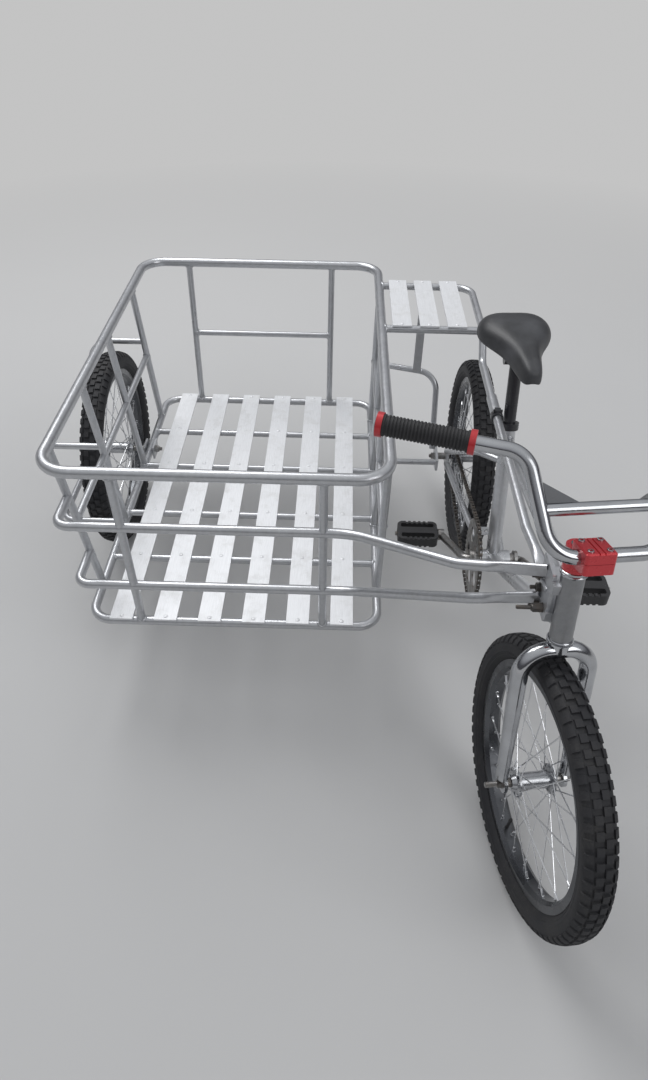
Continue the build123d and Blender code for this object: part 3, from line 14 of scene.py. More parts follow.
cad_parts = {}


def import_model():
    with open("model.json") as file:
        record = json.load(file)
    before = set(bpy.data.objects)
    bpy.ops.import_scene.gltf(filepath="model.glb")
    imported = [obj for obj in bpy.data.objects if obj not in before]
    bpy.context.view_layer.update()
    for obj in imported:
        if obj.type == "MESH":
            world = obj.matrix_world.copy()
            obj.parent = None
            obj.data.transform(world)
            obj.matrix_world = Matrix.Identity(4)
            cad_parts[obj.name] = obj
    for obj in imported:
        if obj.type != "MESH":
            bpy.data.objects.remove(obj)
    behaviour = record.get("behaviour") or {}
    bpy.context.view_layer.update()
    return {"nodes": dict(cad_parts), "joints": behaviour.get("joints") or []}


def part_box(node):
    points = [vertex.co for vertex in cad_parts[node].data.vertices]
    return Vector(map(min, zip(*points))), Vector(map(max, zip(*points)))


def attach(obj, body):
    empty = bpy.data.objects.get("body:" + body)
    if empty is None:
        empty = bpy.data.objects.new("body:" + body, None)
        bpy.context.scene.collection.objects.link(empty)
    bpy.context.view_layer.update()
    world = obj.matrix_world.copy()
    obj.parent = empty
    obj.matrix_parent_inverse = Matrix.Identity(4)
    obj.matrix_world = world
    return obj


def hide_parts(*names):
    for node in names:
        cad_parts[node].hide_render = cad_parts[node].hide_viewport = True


LOG = logging.getLogger("rickshaw")
Colour = tuple[float, float, float]
Point = tuple[float, float, float]
Rows = Sequence[tuple[float, float]]

# The photograph's frame in pixels, and the camera that took it, in metres and degrees
IMAGE_HEIGHT = 1080
FOCAL_PIXELS = 762.85
CAMERA_PLACE = (-0.0085, -1.2316, 1.4290)
CAMERA_DOWN = 41.14
CAMERA_TURN = -0.97
CAMERA_ROLL = 0.92


class Value:
    """One output of a node, with the arithmetic that adds Math nodes."""

    def __init__(self, graph: "Graph", socket: bpy.types.NodeSocket) -> None:
        """Remember the graph and the socket."""
        self.graph = graph
        self.socket = socket

    def _math(self, operation: str, *terms: "Value | float") -> "Value":
        """Add one Math node.

        Args:
            operation: the node's operation.
            terms: what goes into its sockets, in order.

        Returns:
            The node's result.
        """
        return self.graph.add("ShaderNodeMath", {"operation": operation}, dict(enumerate(terms))).out()

    def __add__(self, other: "Value | float") -> "Value":
        """Sum."""
        return self._math("ADD", self, other)

    def __radd__(self, other: float) -> "Value":
        """Sum, the number first."""
        return self._math("ADD", other, self)

    def __sub__(self, other: "Value | float") -> "Value":
        """Difference."""
        return self._math("SUBTRACT", self, other)

    def __rsub__(self, other: float) -> "Value":
        """Difference, the number first."""
        return self._math("SUBTRACT", other, self)

    def __mul__(self, other: "Value | float") -> "Value":
        """Product."""
        return self._math("MULTIPLY", self, other)

    def __rtruediv__(self, other: float) -> "Value":
        """Quotient, the number first."""
        return self._math("DIVIDE", other, self)

    def least(self, other: "Value | float") -> "Value":
        """Smaller of two."""
        return self._math("MINIMUM", self, other)

    def most(self, other: "Value | float") -> "Value":
        """Larger of two."""
        return self._math("MAXIMUM", self, other)

    def band(self, low: float, high: float) -> "Value":
        """Run from 0 at low to 1 at high, held outside.

        Args:
            low: value that gives 0.
            high: value that gives 1.

        Returns:
            The held share.
        """
        node = self.graph.add("ShaderNodeMapRange", {"clamp": True},
                              {"Value": self, "From Min": low, "From Max": high})
        return node.out("Result")


class Made:
    """A node that was just added, whose outputs are picked by name or number."""

    def __init__(self, graph: "Graph", node: bpy.types.Node) -> None:
        """Remember the graph and the node."""
        self.graph = graph
        self.node = node

    def out(self, key: str | int = 0) -> Value:
        """Pick an output.

        Args:
            key: its identifier, name or number.

        Returns:
            The output as a value.
        """
        return Value(self.graph, self.graph.pick(self.node.outputs, key))


class Graph:
    """A node tree under construction, for a shader or for Geometry Nodes."""

    def __init__(self, tree: bpy.types.NodeTree) -> None:
        """Start on a tree."""
        self.tree = tree

    @staticmethod
    def pick(sockets: bpy.types.bpy_prop_collection, key: str | int) -> bpy.types.NodeSocket:
        """Find a socket.

        Args:
            sockets: the node's inputs or outputs.
            key: an identifier, a name or a number.

        Returns:
            The socket.
        """
        if isinstance(key, int):
            return sockets[key]
        for socket in sockets:
            if socket.identifier == key:
                return socket
        return sockets[key]

    def add(self, kind: str, settings: dict | None = None, inputs: dict | None = None) -> Made:
        """Add a node.

        Args:
            kind: the node's type.
            settings: its properties, set first; "stops" gives a ramp's (place, colour) rows.
            inputs: a value or a link for each of its sockets.

        Returns:
            The node.
        """
        node = self.tree.nodes.new(kind)
        for name, setting in (settings or {}).items():
            if name == "stops":
                self._stops(node.color_ramp, setting)
            else:
                setattr(node, name, setting)
        for key, given in (inputs or {}).items():
            socket = self.pick(node.inputs, key)
            if isinstance(given, Value):
                self.tree.links.new(given.socket, socket)
            elif isinstance(given, tuple) and len(given) == 3 and socket.type == "RGBA":
                socket.default_value = (*given, 1.0)
            else:
                socket.default_value = given
        return Made(self, node)

    @staticmethod
    def _stops(ramp: bpy.types.ColorRamp, rows: Sequence[tuple[float, Colour]]) -> None:
        """Set a colour ramp's stops.

        Args:
            ramp: the ramp.
            rows: a place and a colour each.
        """
        while len(ramp.elements) < len(rows):
            ramp.elements.new(1.0)
        for element, (place, colour) in zip(ramp.elements, rows):
            element.position = place
            element.color = (*colour, 1.0)

    def place(self, stretch: Point = (1.0, 1.0, 1.0)) -> Value:
        """Object coordinates, stretched along each axis.

        Args:
            stretch: the pattern's scale along X, Y and Z.

        Returns:
            The coordinates.
        """
        spot = self.add("ShaderNodeTexCoord").out("Object")
        return self.add("ShaderNodeMapping", None, {"Vector": spot, "Scale": stretch}).out()

    def noise(self, where: Value, scale: float, detail: float = 3.0, rough: float = 0.5) -> Value:
        """Smooth noise.

        Args:
            where: the coordinates.
            scale: cells per metre.
            detail: octaves.
            rough: strength of the finer octaves.

        Returns:
            The noise, about 0.3 to 0.7.
        """
        node = self.add("ShaderNodeTexNoise", None,
                        {"Vector": where, "Scale": scale, "Detail": detail, "Roughness": rough})
        return node.out(0)

    def blend(self, share: Value | float, low: Value | Colour, high: Value | Colour) -> Value:
        """Mix two colours.

        Args:
            share: 0 for low and 1 for high.
            low: a colour.
            high: another colour.

        Returns:
            The mixed colour.
        """
        node = self.add("ShaderNodeMix", {"data_type": "RGBA"},
                        {"Factor_Float": share, "A_Color": low, "B_Color": high})
        return node.out("Result_Color")

    def bump(self, height: Value, depth: float, strength: float = 1.0) -> Value:
        """Turn a height into a normal.

        Args:
            height: the height, 0 to 1.
            depth: what a height of 1 stands for, in metres.
            strength: how much of it shows.

        Returns:
            The bent normal.
        """
        return self.add("ShaderNodeBump", None, {"Height": height, "Distance": depth, "Strength": strength}).out()


# Colours of what lies on the finishes
LIGHT_DUST = (0.42, 0.41, 0.38)
ROAD_DUST = (0.135, 0.125, 0.108)
RUST = (0.26, 0.12, 0.055)
PIT_BROWN = (0.20, 0.11, 0.06)
OIL_BROWN = (0.15, 0.125, 0.105)


class Grain(Enum):
    """How a metal's fine marks run."""

    EVEN = (1.0, 1.0, 1.0)
    LENGTHWAYS = (9.0, 0.35, 9.0)


@dataclass(frozen=True)
class Finish:
    """What every finish has: a name, a colour and a roughness."""

    name: str
    colour: Colour
    roughness: float

    def material(self) -> bpy.types.Material:
        """Make the material, or find it if it is made already.

        Returns:
            The material.
        """
        known = bpy.data.materials.get(self.name)
        if known is not None:
            return known
        made = bpy.data.materials.new(self.name)
        made.use_nodes = True
        made.node_tree.nodes.clear()
        graph = Graph(made.node_tree)
        shader = graph.add("ShaderNodeBsdfPrincipled")
        graph.add("ShaderNodeOutputMaterial", None, {"Surface": shader.out()})
        self.dress(graph, shader.node)
        return made

    def dress(self, graph: Graph, shader: bpy.types.Node) -> None:
        """Set the shader's sockets.

        Args:
            graph: the material's graph.
            shader: its Principled shader.
        """
        raise NotImplementedError

    @staticmethod
    def feed(graph: Graph, shader: bpy.types.Node, **values: Value | float | Colour) -> None:
        """Give the shader its values.

        Args:
            graph: the material's graph.
            shader: its Principled shader.
            values: by the socket's name, with _ for a space.
        """
        for name, given in values.items():
            socket = shader.inputs[name.replace("_", " ")]
            if isinstance(given, Value):
                graph.tree.links.new(given.socket, socket)
            elif isinstance(given, tuple):
                socket.default_value = (*given, 1.0)
            else:
                socket.default_value = given


@dataclass(frozen=True)
class SilverPaint(Finish):
    """Aluminium-coloured paint on steel: faint brush marks, dull patches and a few rust freckles."""

    metallic: float = 0.8
    marks: Grain = Grain.EVEN
    rust: float = 0.5
    dirt: float = 0.18

    def dress(self, graph: Graph, shader: bpy.types.Node) -> None:
        """Lay brush marks, dust and rust freckles on the paint.

        Args:
            graph: the material's graph.
            shader: its Principled shader.
        """
        where = graph.place()
        brushed = graph.place(self.marks.value)
        cloud = graph.noise(where, 6.0, 4.0, 0.6)
        streak = graph.noise(brushed, 95.0, 4.0, 0.7)
        orange_peel = graph.noise(where, 420.0, 2.0)
        dust = graph.noise(where, 24.0, 5.0, 0.7).band(0.50, 0.74)
        freckle = graph.noise(where, 150.0, 3.0, 0.6).band(0.71, 0.77) * cloud.band(0.46, 0.62) * self.rust
        bright = tuple(min(1.0, part * 1.05) for part in self.colour)
        dull = tuple(part * 0.90 for part in self.colour)
        paint = graph.blend(streak.band(0.32, 0.70), dull, bright)
        paint = graph.blend(dust * self.dirt, paint, LIGHT_DUST)
        paint = graph.blend(freckle, paint, RUST)
        rough = self.roughness + (cloud - 0.5) * 0.22 + streak.band(0.35, 0.75) * 0.06 + freckle * 0.3
        self.feed(graph, shader, Base_Color=paint, Roughness=rough.most(0.12).least(0.9),
                  Metallic=(self.metallic - freckle * 0.6 - dust * self.dirt * 0.5).most(0.0),
                  Normal=graph.bump(orange_peel * 0.5 + streak * 0.6, 0.0002, 0.35))


@dataclass(frozen=True)
class Chrome(Finish):
    """Bright plating with smudges, a slight waviness and pin-point pits."""

    pits: float = 0.35

    def dress(self, graph: Graph, shader: bpy.types.Node) -> None:
        """Lay smudges, waviness and pits on the plating.

        Args:
            graph: the material's graph.
            shader: its Principled shader.
        """
        where = graph.place()
        smudge = graph.noise(where, 20.0, 5.0, 0.65)
        wave = graph.noise(where, 34.0, 1.0)
        pit = graph.noise(where, 330.0, 2.0).band(0.69, 0.74) * smudge.band(0.46, 0.60) * self.pits
        tone = graph.blend(smudge.band(0.35, 0.75), self.colour, tuple(part * 0.78 for part in self.colour))
        tone = graph.blend(pit, tone, PIT_BROWN)
        self.feed(graph, shader, Base_Color=tone, Metallic=1.0,
                  Roughness=(self.roughness + smudge.band(0.42, 0.78) * 0.20 + pit * 0.4).least(0.8),
                  Normal=graph.bump(wave + pit * -0.4, 0.0006, 0.25))


@dataclass(frozen=True)
class BareSteel(Finish):
    """Working steel of axles, nuts, chain and spindle: oily, a little brown."""

    def dress(self, graph: Graph, shader: bpy.types.Node) -> None:
        """Lay oily brown patches on the steel.

        Args:
            graph: the material's graph.
            shader: its Principled shader.
        """
        where = graph.place()
        patch = graph.noise(where, 60.0, 5.0, 0.65)
        fine = graph.noise(where, 500.0, 3.0)
        tone = graph.blend(patch.band(0.42, 0.70), self.colour, OIL_BROWN)
        self.feed(graph, shader, Base_Color=tone, Metallic=1.0 - patch.band(0.5, 0.72) * 0.5,
                  Roughness=self.roughness + (patch - 0.5) * 0.5 + fine * 0.1,
                  Normal=graph.bump(fine, 0.0002, 0.5))


@dataclass(frozen=True)
class TyreRubber(Finish):
    """Matt black rubber, paler where road dust has settled."""

    dust: float = 0.5

    def dress(self, graph: Graph, shader: bpy.types.Node) -> None:
        """Settle road dust in the rubber's grit.

        Args:
            graph: the material's graph.
            shader: its Principled shader.
        """
        where = graph.place()
        cloud = graph.noise(where, 14.0, 5.0, 0.65)
        grit = graph.noise(where, 260.0, 4.0, 0.7)
        settled = cloud.band(0.42, 0.72) * grit.band(0.35, 0.75) * self.dust
        tone = graph.blend(settled, self.colour, ROAD_DUST)
        self.feed(graph, shader, Base_Color=tone, Roughness=(self.roughness + settled * 0.25).least(0.98),
                  Normal=graph.bump(grit, 0.0006, 0.45))


@dataclass(frozen=True)
class SaddleVinyl(Finish):
    """Black saddle cover with a fine pebble grain and a worn, greyer top."""

    def dress(self, graph: Graph, shader: bpy.types.Node) -> None:
        """Give the vinyl its pebble grain and worn top.

        Args:
            graph: the material's graph.
            shader: its Principled shader.
        """
        where = graph.place()
        pebble = graph.add("ShaderNodeTexVoronoi", {"feature": "SMOOTH_F1"},
                           {"Vector": where, "Scale": 620.0, "Smoothness": 0.4}).out("Distance")
        worn = graph.noise(where, 16.0, 4.0, 0.6).band(0.40, 0.72)
        tone = graph.blend(worn, self.colour, tuple(part * 2.2 for part in self.colour))
        self.feed(graph, shader, Base_Color=tone, Roughness=self.roughness + worn * 0.14,
                  Normal=graph.bump(pebble, 0.0003, 0.5))


@dataclass(frozen=True)
class Moulded(Finish):
    """Moulded plastic or rubber with a satin skin and scuffs."""

    scuff: Colour = (0.16, 0.16, 0.16)
    coat: float = 0.0
    metallic: float = 0.0

    def dress(self, graph: Graph, shader: bpy.types.Node) -> None:
        """Give the moulding its skin and scuffs.

        Args:
            graph: the material's graph.
            shader: its Principled shader.
        """
        where = graph.place()
        cloud = graph.noise(where, 30.0, 5.0, 0.7)
        fine = graph.noise(where, 700.0, 3.0)
        scratch = graph.noise(graph.place((3.0, 0.6, 8.0)), 170.0, 3.0, 0.6).band(0.64, 0.70)
        tone = graph.blend(scratch * cloud.band(0.46, 0.60) * 0.7, self.colour, self.scuff)
        self.feed(graph, shader, Base_Color=tone, Metallic=self.metallic, Coat_Weight=self.coat,
                  Roughness=self.roughness + (cloud - 0.5) * 0.35, Normal=graph.bump(fine, 0.00015, 0.5))


BASKET_PAINT = SilverPaint("satin silver tube paint", (0.52, 0.53, 0.55), 0.30)
SLAT_PAINT = SilverPaint("brushed slat paint", (0.78, 0.79, 0.81), 0.50, metallic=0.35, marks=Grain.LENGTHWAYS,
                         rust=0.8, dirt=0.30)
FRAME_PAINT = SilverPaint("bicycle frame paint", (0.56, 0.57, 0.59), 0.28, metallic=0.75, rust=0.25)
HEAD_PAINT = SilverPaint("brushed head tube", (0.27, 0.275, 0.285), 0.30, metallic=0.9, rust=0.15)
PLATING = Chrome("fork and bar chrome", (0.50, 0.51, 0.53), 0.12)
# painted reflection: a dark satin finish for the chrome gusset plates, standing for the ground mirrored in them
GUSSET_PAINTED_REFLECTION = SilverPaint("dull gusset plate", (0.11, 0.113, 0.12), 0.42, metallic=0.7, rust=0.2)
RIM_PLATING = Chrome("rim plating", (0.13, 0.135, 0.145), 0.24, pits=0.8)
HUB_PLATING = Chrome("hub plating", (0.46, 0.47, 0.49), 0.20, pits=0.5)
SPOKE_WIRE = Chrome("spoke wire", (0.76, 0.77, 0.79), 0.22, pits=0.15)
WORKING_STEEL = BareSteel("oily steel", (0.38, 0.375, 0.37), 0.32)
DARK_STEEL = BareSteel("dark chain steel", (0.13, 0.125, 0.12), 0.40)
TYRE_BLACK = TyreRubber("knobbly tyre rubber", (0.018, 0.0185, 0.022), 0.70, dust=0.35)
SADDLE_BLACK = SaddleVinyl("saddle cover", (0.030, 0.031, 0.034), 0.42)
GRIP_BLACK = Moulded("grip rubber", (0.024, 0.024, 0.026), 0.62, scuff=(0.10, 0.10, 0.10))
PEDAL_BLACK = Moulded("pedal plastic", (0.028, 0.028, 0.030), 0.48)
POST_BLACK = Moulded("black post paint", (0.020, 0.020, 0.024), 0.30, scuff=(0.30, 0.30, 0.31), coat=0.3)
STEM_RED = Moulded("red stem finish", (0.56, 0.035, 0.045), 0.30, scuff=(0.70, 0.30, 0.28), coat=0.4, metallic=0.35)
RING_RED = Moulded("red lock ring", (0.50, 0.028, 0.036), 0.34, scuff=(0.62, 0.25, 0.22), coat=0.3, metallic=0.25)

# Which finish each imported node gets
NODE_FINISHES = {
    BASKET_PAINT: ("top_rim", "floor_rim", "floor_cross_tubes", "rear_posts", "front_posts", "left_posts",
                   "right_posts", "left_mid_rail", "right_mid_rail", "rear_mid_rail", "upper_arm", "lower_arm",
                   "outer_struts", "link_arms", "carrier_frame", "head_bracket", "axle_plates"),
    SLAT_PAINT: ("floor_slats", "carrier_slats"),
    FRAME_PAINT: ("top_tube", "down_tube", "seat_tube", "bottom_bracket_shell", "chain_stays", "seat_stays",
                  "rear_dropouts"),
    PLATING: ("fork", "handlebar", "headset_cups"),
    HEAD_PAINT: ("head_tube",),
    RIM_PLATING: ("front_rim", "rear_rim", "side_rim"),
    HUB_PLATING: ("front_hub", "rear_hub", "side_hub"),
    SPOKE_WIRE: ("front_spokes", "rear_spokes", "side_spokes"),
    WORKING_STEEL: ("front_axle", "rear_axle", "side_axle", "crank_spindle", "chainring", "crank_arms"),
    DARK_STEEL: ("chain",),
    TYRE_BLACK: ("front_tyre", "rear_tyre", "side_tyre"),
    SADDLE_BLACK: ("saddle",),
    GRIP_BLACK: ("grips",),
    POST_BLACK: ("seat_clamp", "seat_post"),
    STEM_RED: ("stem",),
    RING_RED: ("grip_rings",),
    PEDAL_BLACK: ("pedal_left", "pedal_right"),
}


# Middle, main points and main lines of the vehicle in the coordinates of the part's source, in millimetres
SOURCE_MIDDLE = Vector((18.0, 10.4, 0.0))
BIKE_X = 363.0
REAR_Y = 480.0
AXLE_Z = 254.0
PEDAL_AXLE = Vector((BIKE_X, 40.0, 285.0))
HEAD_MIDDLE = Vector((BIKE_X, -412.0, 603.0))
HEAD_HALF = 57.0
HEAD_RADIUS = 18.0
ACROSS = Vector((1.0, 0.0, 0.0))
BACKWARDS = Vector((0.0, 1.0, 0.0))
FORWARDS = Vector((0.0, -1.0, 0.0))
UP = Vector((0.0, 0.0, 1.0))
HEAD_ANGLE = math.radians(78.0)
SEAT_ANGLE = math.radians(73.7)
STEER_UP = Vector((0.0, math.cos(HEAD_ANGLE), math.sin(HEAD_ANGLE)))
SEAT_UP = Vector((0.0, math.cos(SEAT_ANGLE), math.sin(SEAT_ANGLE)))
# How the front end stands turned at rest
STEER_TURN = Matrix.Rotation(math.radians(9.5), 3, STEER_UP)
# The origin, and a block's own size
HERE = Matrix.Identity(4)
WHOLE = Vector((1.0, 1.0, 1.0))


def spot(x: float, y: float, z: float) -> Vector:
    """Place in metres of a point given in the source's millimetres."""
    return (Vector((x, y, z)) - SOURCE_MIDDLE) / 1000.0


def frame_of(centre: Vector, axis: Vector, out: Vector) -> Matrix:
    """Make a placing matrix.

    Args:
        centre: where the origin goes.
        axis: direction of local X.
        out: direction that local Y leans to.

    Returns:
        The matrix.
    """
    along = axis.normalized()
    side = (out - along * out.dot(along)).normalized()
    turned = Matrix((along, side, along.cross(side))).transposed().to_4x4()
    return Matrix.Translation(centre) @ turned


@dataclass
class Shape:
    """A mesh under construction, in metres: points, faces and the forms they are made of."""

    points: list[Vector] = field(default_factory=list)
    faces: list[tuple[int, ...]] = field(default_factory=list)

    def take(self, points: Sequence[Vector], faces: Sequence[tuple[int, ...]]) -> "Shape":
        """Add points, and faces that count from the first of them.

        Args:
            points: the new points.
            faces: faces over them.

        Returns:
            The shape itself.
        """
        base = len(self.points)
        self.points.extend(points)
        self.faces.extend(tuple(base + index for index in face) for face in faces)
        return self

    def lathe(self, outline: Rows, place: Matrix, sides: int, ring: bool = False) -> "Shape":
        """Turn an outline about local X.

        Args:
            outline: (along X, radius) rows in millimetres.
            place: where it goes.
            sides: steps round.
            ring: whether the last row joins the first, for a hollow ring.

        Returns:
            The shape itself.
        """
        points = []
        for along, radius in outline:
            for step in range(sides):
                angle = math.tau * step / sides
                local = Vector((along, radius * math.cos(angle), radius * math.sin(angle))) / 1000.0
                points.append(place @ local)
        rows = len(outline)
        faces = []
        for row in range(rows if ring else rows - 1):
            low = row * sides
            high = (row + 1) % rows * sides
            for step in range(sides):
                after = (step + 1) % sides
                faces.append((low + step, high + step, high + after, low + after))
        if not ring:
            faces.append(tuple(range(sides)))
            faces.append(tuple((rows - 1) * sides + step for step in reversed(range(sides))))
        return self.take(points, faces)

    def prism(self, outline: Rows, low: float, high: float, place: Matrix) -> "Shape":
        """Raise an outline in local Y and Z along X.

        Args:
            outline: (Y, Z) rows in millimetres.
            low: where it starts along X.
            high: where it ends.
            place: where it goes.

        Returns:
            The shape itself.
        """
        count = len(outline)
        points = [place @ (Vector((along, y, z)) / 1000.0) for along in (low, high) for y, z in outline]
        faces = [tuple(range(count)), tuple(reversed(range(count, 2 * count)))]
        for step in range(count):
            after = (step + 1) % count
            faces.append((step, step + count, after + count, after))
        return self.take(points, faces)

    def mesh(self, name: str, smooth: float = 32.0) -> bpy.types.Mesh:
        """Finish the mesh: doubles merged, faces outwards, smooth up to an angle.

        Args:
            name: the mesh's name.
            smooth: sharpest bend that is still shaded smooth, in degrees.

        Returns:
            The mesh.
        """
        made = bpy.data.meshes.new(name)
        work = bmesh.new()
        corners = [work.verts.new(point) for point in self.points]
        for face in self.faces:
            work.faces.new([corners[index] for index in face])
        bmesh.ops.remove_doubles(work, verts=work.verts, dist=1e-6)
        bmesh.ops.recalc_face_normals(work, faces=work.faces)
        work.to_mesh(made)
        work.free()
        shade(made, smooth)
        return made


def shade(mesh: bpy.types.Mesh, angle: float) -> None:
    """Shade a mesh smooth up to an angle in degrees."""
    mesh.polygons.foreach_set("use_smooth", [True] * len(mesh.polygons))
    mesh.set_sharp_from_angle(angle=math.radians(angle))


def settle(name: str, mesh: bpy.types.Mesh, finish: Finish, body: str,
           replaces: Sequence[str] = ()) -> bpy.types.Object:
    """Hand a finished mesh over to the frame.

    Args:
        name: the piece's name.
        mesh: its mesh, in place.
        finish: its finish.
        body: the body it rides on.
        replaces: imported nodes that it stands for.

    Returns:
        The piece.
    """
    piece = bpy.data.objects.new(name, mesh)
    bpy.context.collection.objects.link(piece)
    mesh.materials.clear()
    mesh.materials.append(finish.material())
    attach(piece, body)
    if replaces:
        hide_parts(*replaces)
    LOG.info("%s: %d faces on %s", name, len(mesh.polygons), body)
    return piece


class NodeTool:
    """A Geometry Nodes tree with named inputs, run on a host mesh and turned into a plain mesh."""

    def __init__(self, name: str, inputs: dict[str, str]) -> None:
        """Make the tree and its inputs.

        Args:
            name: the tree's name.
            inputs: the socket type of each input by name.
        """
        self.tree = bpy.data.node_groups.new(name, "GeometryNodeTree")
        self.tree.interface.new_socket("Geometry", in_out="INPUT", socket_type="NodeSocketGeometry")
        for label, kind in {**inputs, "Finish": "NodeSocketMaterial"}.items():
            self.tree.interface.new_socket(label, in_out="INPUT", socket_type=kind)
        self.tree.interface.new_socket("Geometry", in_out="OUTPUT", socket_type="NodeSocketGeometry")
        self.graph = Graph(self.tree)
        self.entry = self.graph.add("NodeGroupInput")

    def close(self, copies: Value) -> None:
        """End the tree: what it made turned into a real mesh with its finish.

        Args:
            copies: the copies or the mesh that it made.
        """
        real = self.graph.add("GeometryNodeRealizeInstances", None, {"Geometry": copies}).out()
        dressed = self.graph.add("GeometryNodeSetMaterial", None,
                                 {"Geometry": real, "Material": self.entry.out("Finish")}).out()
        self.graph.add("NodeGroupOutput", None, {0: dressed})

    def run(self, host: bpy.types.Mesh, finish: Finish, **values: float | bpy.types.Object) -> bpy.types.Mesh:
        """Run the tree once.

        Args:
            host: the mesh it starts from.
            finish: the finish of what it makes.
            values: its other inputs by name, with _ for a space.

        Returns:
            A plain mesh.
        """
        given = {name.replace("_", " "): value for name, value in values.items()}
        given["Finish"] = finish.material()
        holder = bpy.data.objects.new("host", host)
        bpy.context.collection.objects.link(holder)
        modifier = holder.modifiers.new("tool", "NODES")
        modifier.node_group = self.tree
        for item in self.tree.interface.items_tree:
            if item.item_type == "SOCKET" and item.in_out == "INPUT" and item.name in given:
                modifier[item.identifier] = given[item.name]
        graph = bpy.context.evaluated_depsgraph_get()
        graph.update()
        made = bpy.data.meshes.new_from_object(holder.evaluated_get(graph), depsgraph=graph)
        holder.modifiers.remove(modifier)
        bpy.data.objects.remove(holder)
        return made

    def copy(self, host: bpy.types.Mesh, block: bpy.types.Mesh, finish: Finish, **values: float) -> bpy.types.Mesh:
        """Run a tree that copies a block, and put the block away again.

        Args:
            host: the mesh it starts from.
            block: the mesh that it copies.
            finish: the finish of what it makes.
            values: its other inputs.

        Returns:
            A plain mesh.
        """
        holder = bpy.data.objects.new("block", block)
        bpy.context.collection.objects.link(holder)
        made = self.run(host, finish, Block=holder, **values)
        bpy.data.objects.remove(holder)
        return made


class RingTool(NodeTool):
    """Copies of a block at equal steps round X, as a tread's lugs and a wheel's spokes stand."""

    def __init__(self) -> None:
        """Build the tree."""
        super().__init__("ring of copies", {"Block": "NodeSocketObject", "Count": "NodeSocketInt",
                                            "Phase": "NodeSocketFloat"})
        graph, entry = self.graph, self.entry
        index = graph.add("GeometryNodeInputIndex").out()
        angle = index * (math.tau / entry.out("Count")) + entry.out("Phase")
        points = graph.add("GeometryNodePoints", None, {"Count": entry.out("Count")}).out()
        euler = graph.add("ShaderNodeCombineXYZ", None, {0: angle}).out()
        turn = graph.add("FunctionNodeEulerToRotation", None, {0: euler}).out()
        block = graph.add("GeometryNodeObjectInfo", None, {"Object": entry.out("Block")}).out("Geometry")
        self.close(graph.add("GeometryNodeInstanceOnPoints", None,
                             {"Points": points, "Instance": block, "Rotation": turn}).out())

    def ring(self, block: bpy.types.Mesh, finish: Finish, count: int, phase: float) -> bpy.types.Mesh:
        """Put copies of the block round X.

        Args:
            block: the mesh that is copied.
            finish: its finish.
            count: how many copies stand round X.
            phase: the first one's turn, in radians.

        Returns:
            A plain mesh.
        """
        return self.copy(bpy.data.meshes.new("empty"), block, finish, Count=count, Phase=phase)


class SpotTool(NodeTool):
    """Copies of a block at a host's points, each turned and sized by the point's attributes."""

    def __init__(self) -> None:
        """Build the tree."""
        super().__init__("copies at spots", {"Block": "NodeSocketObject"})
        graph, entry = self.graph, self.entry
        euler = graph.add("GeometryNodeInputNamedAttribute", {"data_type": "FLOAT_VECTOR"}, {"Name": "turn"}).out(0)
        size = graph.add("GeometryNodeInputNamedAttribute", {"data_type": "FLOAT_VECTOR"}, {"Name": "size"}).out(0)
        turn = graph.add("FunctionNodeEulerToRotation", None, {0: euler}).out()
        block = graph.add("GeometryNodeObjectInfo", None, {"Object": entry.out("Block")}).out("Geometry")
        self.close(graph.add("GeometryNodeInstanceOnPoints", None, {
            "Points": entry.out("Geometry"), "Instance": block, "Rotation": turn, "Scale": size}).out())

    def at(self, rows: Sequence[tuple[Matrix, Vector]], block: bpy.types.Mesh, finish: Finish) -> bpy.types.Mesh:
        """Put the block at each row.

        Args:
            rows: a placing matrix and a size along its axes each.
            block: the mesh that is copied.
            finish: its finish.

        Returns:
            A plain mesh.
        """
        host = bpy.data.meshes.new("spots")
        host.from_pydata([place.translation for place, _ in rows], [], [])
        turn = host.attributes.new("turn", "FLOAT_VECTOR", "POINT")
        size = host.attributes.new("size", "FLOAT_VECTOR", "POINT")
        for index, (place, scale) in enumerate(rows):
            turn.data[index].vector = Vector(place.to_euler("XYZ"))
            size.data[index].vector = scale
        return self.copy(host, block, finish)


class SeamTool(NodeTool):
    """A rippled bead along a host's edges, as a weld runs round a tube."""

    def __init__(self) -> None:
        """Build the tree."""
        super().__init__("weld bead", {"Bead Radius": "NodeSocketFloat", "Ripple": "NodeSocketFloat",
                                       "Ripples": "NodeSocketFloat"})
        graph, entry = self.graph, self.entry
        path = graph.add("GeometryNodeMeshToCurve", None, {"Mesh": entry.out("Geometry")}).out()
        where = graph.add("GeometryNodeInputPosition").out()
        lumps = graph.add("ShaderNodeTexNoise", None, {"Vector": where, "Scale": entry.out("Ripples"), "Detail": 1.0})
        width = 1.0 + (lumps.out(0) - 0.5) * entry.out("Ripple")
        path = graph.add("GeometryNodeSetCurveRadius", None, {"Curve": path, "Radius": width}).out()
        profile = graph.add("GeometryNodeCurvePrimitiveCircle", None,
                            {"Resolution": 6, "Radius": entry.out("Bead Radius")}).out()
        self.close(graph.add("GeometryNodeCurveToMesh", None,
                             {"Curve": path, "Profile Curve": profile, "Scale": width}).out())


def joined(name: str, meshes: Sequence[bpy.types.Mesh], place: Matrix, angle: float = 32.0) -> bpy.types.Mesh:
    """Join meshes into one and put it in its place.

    Args:
        name: the new mesh's name.
        meshes: what is joined.
        place: the placing matrix.
        angle: sharpest bend that is shaded smooth, in degrees.

    Returns:
        The joined mesh.
    """
    work = bmesh.new()
    for mesh in meshes:
        work.from_mesh(mesh)
    bmesh.ops.transform(work, matrix=place, verts=work.verts)
    made = bpy.data.meshes.new(name)
    work.to_mesh(made)
    work.free()
    shade(made, angle)
    return made


